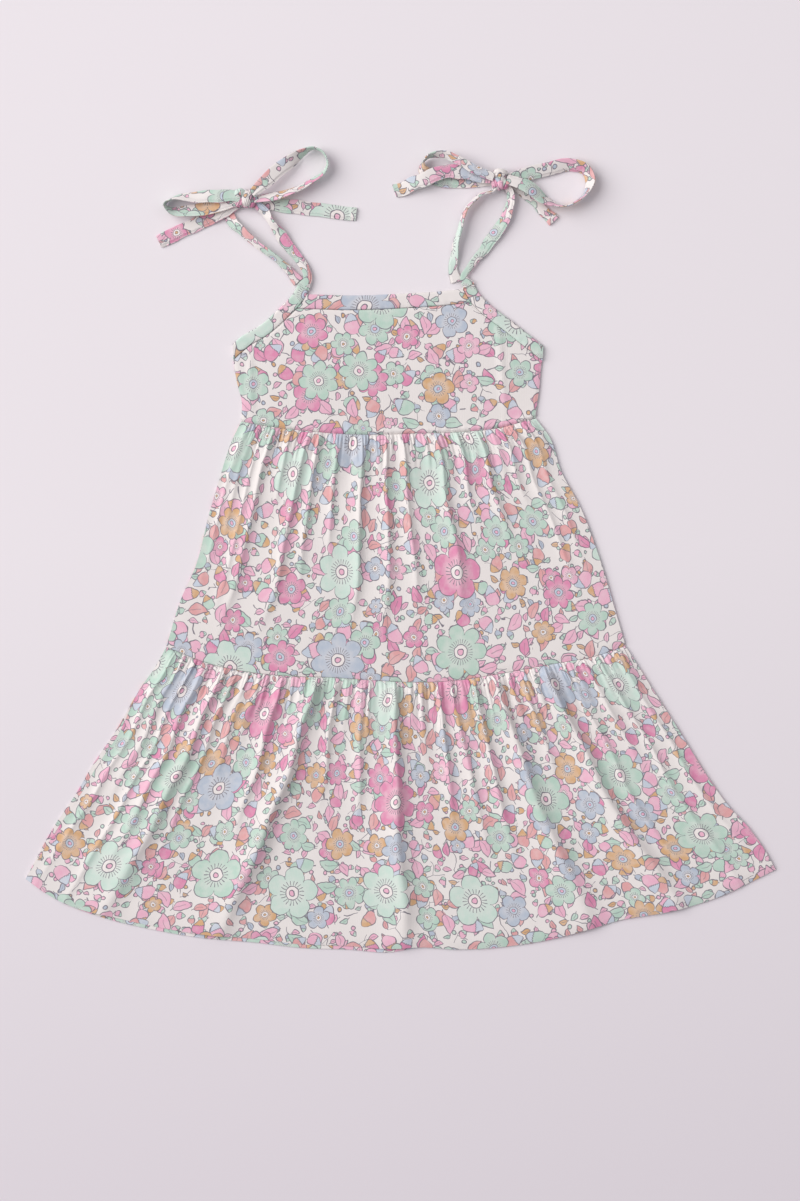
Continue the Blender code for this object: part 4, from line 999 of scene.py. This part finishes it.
# A flat strip along its middle line. Its section is a superellipse, turned by the tilt: across it
# sign(cos) |cos| ** 0.7 of the half width, through it sign(sin) |sin| ** 0.4 of the half thickness.
# It narrows and takes a pleat exp(-(s / 0.3) ** 2) near a knot. Its upper layer ends at a ledge beside
# its sewn edge, where it puckers.
def makeTie(name, rows, number):
    shape = tieStrip
    hand = name.rsplit("_", 1)[1]
    isLoop, isTail = "loop" in name, "tail" in name
    if name.startswith("front_strand"):
        edge = armholeLine(hand, layers["armholeDepth"] / 2)
        rows = rows + [(*edge[0], rows[-1][2], 0)]
    path = smoothLine(rows, np.linspace(0, 1, 2 * fineSteps))
    tilt = np.radians(path[:, 3])
    lying = shape["width"] / 2 * np.abs(np.sin(tilt)) + shape["thick"] / 2 * np.abs(np.cos(tilt))
    path[:, 2] = np.maximum(path[:, 2], lying + shape["floorGap"])
    inside = knotLevel(path, hand) < shape["intoKnot"]
    first, last = int(np.flatnonzero(inside[:fineSteps]).max()), len(path) - 1
    if isLoop:
        last = fineSteps + int(np.flatnonzero(inside[fineSteps:]).min())
    path = path[first:last + 1]
    steps = runLengths(path[:, :3])
    length = steps[-1]
    stations = np.linspace(0, length, int(length / shape["step"]))
    path = np.stack([np.interp(stations, steps, values) for values in path.T], axis=1)
    along = unitVectors(np.gradient(path[:, :3], axis=0))
    level = unitVectors(np.stack([-along[:, 1], along[:, 0], np.zeros(len(path))], axis=1))
    tilt = np.radians(path[:, 3])[:, None]
    side = np.cos(tilt) * level + np.sin(tilt) * np.cross(along, level)
    face = np.cross(along, side)
    fromKnot = stations[:, None]
    if isLoop:
        fromKnot = np.minimum(fromKnot, stations[-1] - fromKnot)
    near = ridge(fromKnot, shape["squeezeRun"])
    drawnIn = np.array(tieWidths.get(name, [(0, 1), (1, 1)]))
    wide = shape["width"] / 2 * (1 - shape["squeeze"] * near)
    wide = wide * np.interp(stations / length, drawnIn[:, 0], drawnIn[:, 1])[:, None]
    uneven, unevenLength = shape["uneven"]
    wide = wide * (1 + uneven * softWaves(stations, 0, unevenLength, number)[:, None])
    sway, swayLength = shape["sway"]
    path[:, :3] += level * (sway * softWaves(stations, 0, swayLength, number + 40))[:, None]
    thick = np.full((len(path), 1), shape["thick"] / 2)
    if isTail:
        turned = smoothStep(stations[:, None], length - shape["hem"] - 0.8, length - shape["hem"])
        thick = thick + (shape["hemThick"] - shape["thick"]) / 2 * turned
        wide = wide * (1 - shape["hemNarrower"] * smoothStep(stations[:, None], length - 1.2, length + 1.2))
    turn = np.linspace(0, 2 * np.pi, shape["sides"], endpoint=False)[None]
    s = np.sign(np.cos(turn)) * np.abs(np.cos(turn)) ** shape["acrossPower"]
    t = np.sign(np.sin(turn)) * np.abs(np.sin(turn)) ** shape["throughPower"]
    sewn = -1 if number % 2 else 1
    ripple = softWaves(stations[:, None], s * 4, shape["puckerLength"], number + 20)
    stepDown = smoothStep(s * sewn, shape["ledgeAt"] - 0.05, shape["ledgeAt"] + 0.05)
    out = thick * t - shape["ledge"] * np.sign(t) * stepDown
    out = out + shape["pucker"] * ripple * smoothStep(s * sewn, 0.2, 0.9)
    out = out - shape["pleat"] * near * ridge(s, shape["pleatHalf"])
    if isTail:
        seam = length - shape["hem"] - 0.4 - stations[:, None]
        out = out - shape["hemGroove"] * np.sign(t) * ridge(seam, shape["hemGrooveHalf"])
    rings = path[:, None, :3] + side[:, None] * (wide * s)[..., None] + face[:, None] * out[..., None]
    rings[..., 2] = np.maximum(rings[..., 2], 0.02)
    count, sides = rings.shape[:2]
    index = np.arange(count * sides).reshape(count, sides)
    after = np.roll(index, -1, axis=1)
    quads = np.stack([index[:-1], after[:-1], after[1:], index[1:]], -1).reshape(-1, 4)
    ends = [0] * sides + [count - 1] * sides
    row = np.concatenate([(quads // sides).ravel(), ends])
    column = (quads[:, :1] % sides + [0, 1, 1, 0]).ravel()
    column = np.concatenate([column, np.arange(sides), np.arange(sides)])
    around = runLengths(np.append(s[0], s[0, 0])[:, None] * shape["width"] / 2)
    corners = np.stack([stations[row] + shape["printStep"] * number, around[column] + shape["printStart"]],
                       axis=1)
    ring = np.concatenate([np.repeat(quads[:, 0] // sides, 4), ends])
    if isTail:
        corners += (stations[ring] > length - shape["hem"])[:, None] * np.array(shape["hemPrint"])
    if name.startswith("front_strand"):
        corners = stripStart[hand] + stripTurn[hand] * (corners - corners.min(axis=0) - [length, 0])
        corners[:, 1] += shape["width"] * (hand == "left")
    faces = quads.tolist() + [index[0][::-1].tolist(), index[-1].tolist()]
    piece = makePiece(name, rings.reshape(-1, 3), faces, corners, stripJersey, [name])
    gap = stitch["endGap"]
    rows = np.searchsorted(stations, np.arange(gap, length - gap, stitch["pitch"]))
    for column in np.argsort(np.abs(s[0] * sewn - stitch["at"]))[:2]:
        outward = np.sign(t[0, column])
        addStitches(stitches, rings[rows, column], along[rows], side[rows] * outward, face[rows] * outward)


stitches = ([], [])
for number, (name, rows) in enumerate(ties.items()):
    makeTie(name, rows, number)
print("ties made")


# Knots: lumps of wound cloth, each an ellipsoid: offset x, y, z from the middle, half sizes, turn in
# degrees, and how many creases run along it
knotLumps = {
    "left": [(1, 0.2, 0.4, 4.8, 7.8, 6, -20, 4), (-6, -2.8, -1, 4.2, 5, 4.8, -30, 2),
             (-6, 4.6, 0.4, 5.4, 4.4, 4.8, 20, 1), (5, -2.4, -1.4, 3.2, 5.6, 4.4, -10, 1),
             (0, 0, -1, 5.8, 8, 5, 0, 0)],
    "right": [(0.2, 5, 0.6, 4.4, 7, 5.9, 84, 2), (-4.2, -4.4, -0.8, 3.2, 5.2, 5, 14, 1),
              (0.2, -5, 0, 3.2, 5.2, 5.6, 0, 1), (4.6, -4.2, -0.8, 3, 5, 5, -16, 1),
              (0, 0, -0.8, 5.6, 6.4, 5.2, 0, 0)],
}
knotCloth = {"voxel": 0.36, "crease": 0.75, "half": 0.5, "floorGap": 0.15, "rise": 0.5,
             "printStart": (3600, 5200), "printStep": (41.0, 23.0)}


# Points in a lump's own axes, scaled to its half sizes, and those axes
def lumpAxes(points, lump):
    cosine, sine = math.cos(math.radians(lump[6])), math.sin(math.radians(lump[6]))
    axes = np.array([[cosine, sine, 0], [-sine, cosine, 0], [0, 0, 1]])
    return (points - lump[:3]) @ axes.T / lump[3:6], axes


# A ball of radius 1 in rings of sin and cos, with a fan at each pole: its points, quads and triangles
def ball(rows=20, columns=40):
    polar, turn = np.meshgrid(np.linspace(0, np.pi, rows + 2)[1:-1],
                              np.linspace(0, 2 * np.pi, columns, endpoint=False), indexing="ij")
    points = np.stack([np.sin(polar) * np.cos(turn), np.sin(polar) * np.sin(turn), np.cos(polar)], -1)
    points = np.concatenate([points.reshape(-1, 3), [[0, 0, 1], [0, 0, -1]]])
    index = np.arange(rows * columns).reshape(rows, columns)
    after = np.roll(index, -1, axis=1)
    quads = np.stack([index[:-1], index[1:], after[1:], after[:-1]], -1).reshape(-1, 4)
    top, foot = np.full(columns, rows * columns), np.full(columns, rows * columns + 1)
    upperFan = np.stack([top, index[0], after[0]], -1)
    lowerFan = np.stack([foot, after[-1], index[-1]], -1)
    return points, quads, np.concatenate([upperFan, lowerFan])


# A knot: its lumps welded by a voxel remesh and smoothed, then each creased along its length with
# valleys exp(-(offset / half) ** 2). Each lump shows its own part of the print.
def makeKnot(hand):
    name, lumps = "bow_knot_" + hand, np.array(knotLumps[hand])
    centre, half = np.array(knots[hand][0]), np.array(knots[hand][1])
    unit, quads, fans = ball()
    points, faces = [], []
    for number, lump in enumerate(lumps):
        points.append(unit * lump[3:6] @ lumpAxes(unit, lump)[1] + lump[:3])
        faces += (quads + number * len(unit)).tolist() + (fans + number * len(unit)).tolist()
    rough = bpy.data.meshes.new(name + "_rough")
    rough.from_pydata((np.concatenate(points) * mm).tolist(), [], faces)
    lumpy = addObject(name + "_rough", rough)
    weld = lumpy.modifiers.new("weld", "REMESH")
    weld.mode, weld.voxel_size = "VOXEL", knotCloth["voxel"] * mm
    ease = lumpy.modifiers.new("ease", "SMOOTH")
    ease.factor, ease.iterations = 0.5, 4
    welded = lumpy.evaluated_get(bpy.context.evaluated_depsgraph_get()).to_mesh()
    co, normal = np.empty((2, len(welded.vertices), 3), np.float32)
    order = np.empty(len(welded.loops), np.int32)
    welded.vertices.foreach_get("co", co.ravel())
    welded.vertex_normals.foreach_get("vector", normal.ravel())
    welded.loops.foreach_get("vertex_index", order)
    lumpy.to_mesh_clear()
    bpy.data.objects.remove(lumpy)
    co = co.astype(float) / mm
    local = np.stack([lumpAxes(co, lump)[0] for lump in lumps])
    nearest = np.argmin(np.linalg.norm(local, axis=2), axis=0)
    sideways = local[nearest, np.arange(len(co)), 0] + 0.05 * softWaves(co[:, 0], co[:, 1], 9, 3)
    for number, lump in enumerate(lumps):
        for at in np.linspace(-0.8, 0.8, int(lump[7]) + 2)[1:-1]:
            valley = ridge((sideways - at) * lump[3], knotCloth["half"]) * (nearest == number)
            co = co - normal * (knotCloth["crease"] * valley)[:, None]
    co[:, 2] = np.clip(co[:, 2], knotCloth["floorGap"] - centre[2], half[2] + knotCloth["rise"])
    faces = order.reshape(-1, 4)
    middles = co[faces].mean(axis=1)
    away = np.stack([np.linalg.norm(lumpAxes(middles, lump)[0], axis=1) for lump in lumps])
    shown = np.repeat(np.argmin(away, axis=0), 4)[:, None] * np.array(knotCloth["printStep"])
    place = np.stack([co[:, 0], np.arctan2(co[:, 2] + 4, co[:, 1]) * 9], axis=1) + knotCloth["printStart"]
    makePiece(name, co + centre, faces.tolist(), place[order] + shown, stripJersey, [name])


for hand in knots:
    makeKnot(hand)


# Sewing thread, white and slightly shiny: the pale dashes along the ties
def makeStitches():
    surface = {"Base Color": linear(stitch["colour"]), "Roughness": stitch["roughness"]}
    thread = newFinish("white sewing thread", surface, "binding_jersey")[0]
    points, faces = [np.concatenate(part) for part in stitches]
    makePiece("tie_topstitch", points, faces.tolist(), np.zeros((faces.size, 2)), thread, [], 180)


makeStitches()
print("bows tied")


floorCard = {
    "half": 6.0, "below": 0.0002,       # in metres
    # The last tint is painted shade, mixed in towards the hem
    "tints": ("#ebe5e9", "#e9e3e7"), "paintedShadeTint": "#dfd8de",
    "surface": {"Roughness": 0.9, "Specular IOR Level": 0.2},
}


# The surface under the dress: smooth pale card, matt, a square whose tint changes softly with noise, with
# painted shade that makes it darker towards the hem
def makeFloor():
    card, tree, shader = newFinish("pale matt card", floorCard["surface"])
    place = addNode(tree, "TexCoord").outputs["Object"]
    cloudy = addNode(tree, "TexNoise", {"Vector": place, "Scale": 2.0, "Detail": 1.0})
    tint = addNode(tree, "MixRGB", [cloudy, *[linear(colour) for colour in floorCard["tints"]]])
    # Painted shade: the card's tint darkens towards the hem, standing in for light that falls off there
    y = addNode(tree, "SeparateXYZ", [place]).outputs[1]
    down = addNode(tree, "MapRange", [y, 0.0, -0.6, 0.0, 1.0])
    tint = addNode(tree, "MixRGB", [down, tint, linear(floorCard["paintedShadeTint"])])
    tree.links.new(tint.outputs[0], shader.inputs["Base Color"])
    mesh = bpy.data.meshes.new("floor")
    half, below = floorCard["half"], floorCard["below"]
    corners = [(x * half, y * half, -below) for x, y in ((-1, -1), (1, -1), (1, 1), (-1, 1))]
    mesh.from_pydata(corners, [], [(0, 1, 2, 3)])
    mesh.materials.append(card)
    addObject("floor", mesh)


# Lamps are square area lights: a broad one at the upper left, as the photo's shadows show, and a weak one
# that lightens the shadows
lamps = {
    "key": {"at": (-5.2, 1.9, 4.4), "size": 6.5, "power": 560, "colour": (1.0, 0.985, 0.975)},
    "fill": {"at": (1.6, 0.6, 2.6), "size": 2.4, "power": 12, "colour": (0.98, 0.98, 1.0)},
}
sky = {"colour": "#f3f0f6", "strength": 0.37}
photoFrame = {"height": 1.045, "x": -0.0004, "y": -0.0452, "distance": 2.6, "sensor": 36.0}


# Lamps turned so that their -Z axis points at the dress, a pale even sky, and a camera straight above,
# whose lens gives the photo's height on the surface: focal length = sensor height * distance / height
def makeStudio():
    for name, lamp in lamps.items():
        light = bpy.data.lights.new(name, "AREA")
        light.size, light.energy, light.color = lamp["size"], lamp["power"], lamp["colour"]
        item = addObject(name, light)
        x, y, z = lamp["at"]
        item.location = (x, y, z)
        item.rotation_euler = (math.atan2(math.hypot(x, y), z), 0, math.atan2(x, -y))
    world = bpy.data.worlds.new("studio")
    bpy.context.scene.world = world
    world.use_nodes = True
    background = world.node_tree.nodes["Background"]
    background.inputs["Color"].default_value = linear(sky["colour"])
    background.inputs["Strength"].default_value = sky["strength"]
    lens = bpy.data.cameras.new("camera")
    lens.sensor_fit, lens.sensor_height = "VERTICAL", photoFrame["sensor"]
    lens.lens = photoFrame["sensor"] * photoFrame["distance"] / photoFrame["height"]
    camera = addObject("camera", lens)
    camera.location = (photoFrame["x"], photoFrame["y"], photoFrame["distance"])
    bpy.context.scene.camera = camera
    bpy.context.scene.view_settings.view_transform = "Standard"


makeFloor()
makeStudio()
print("studio made")
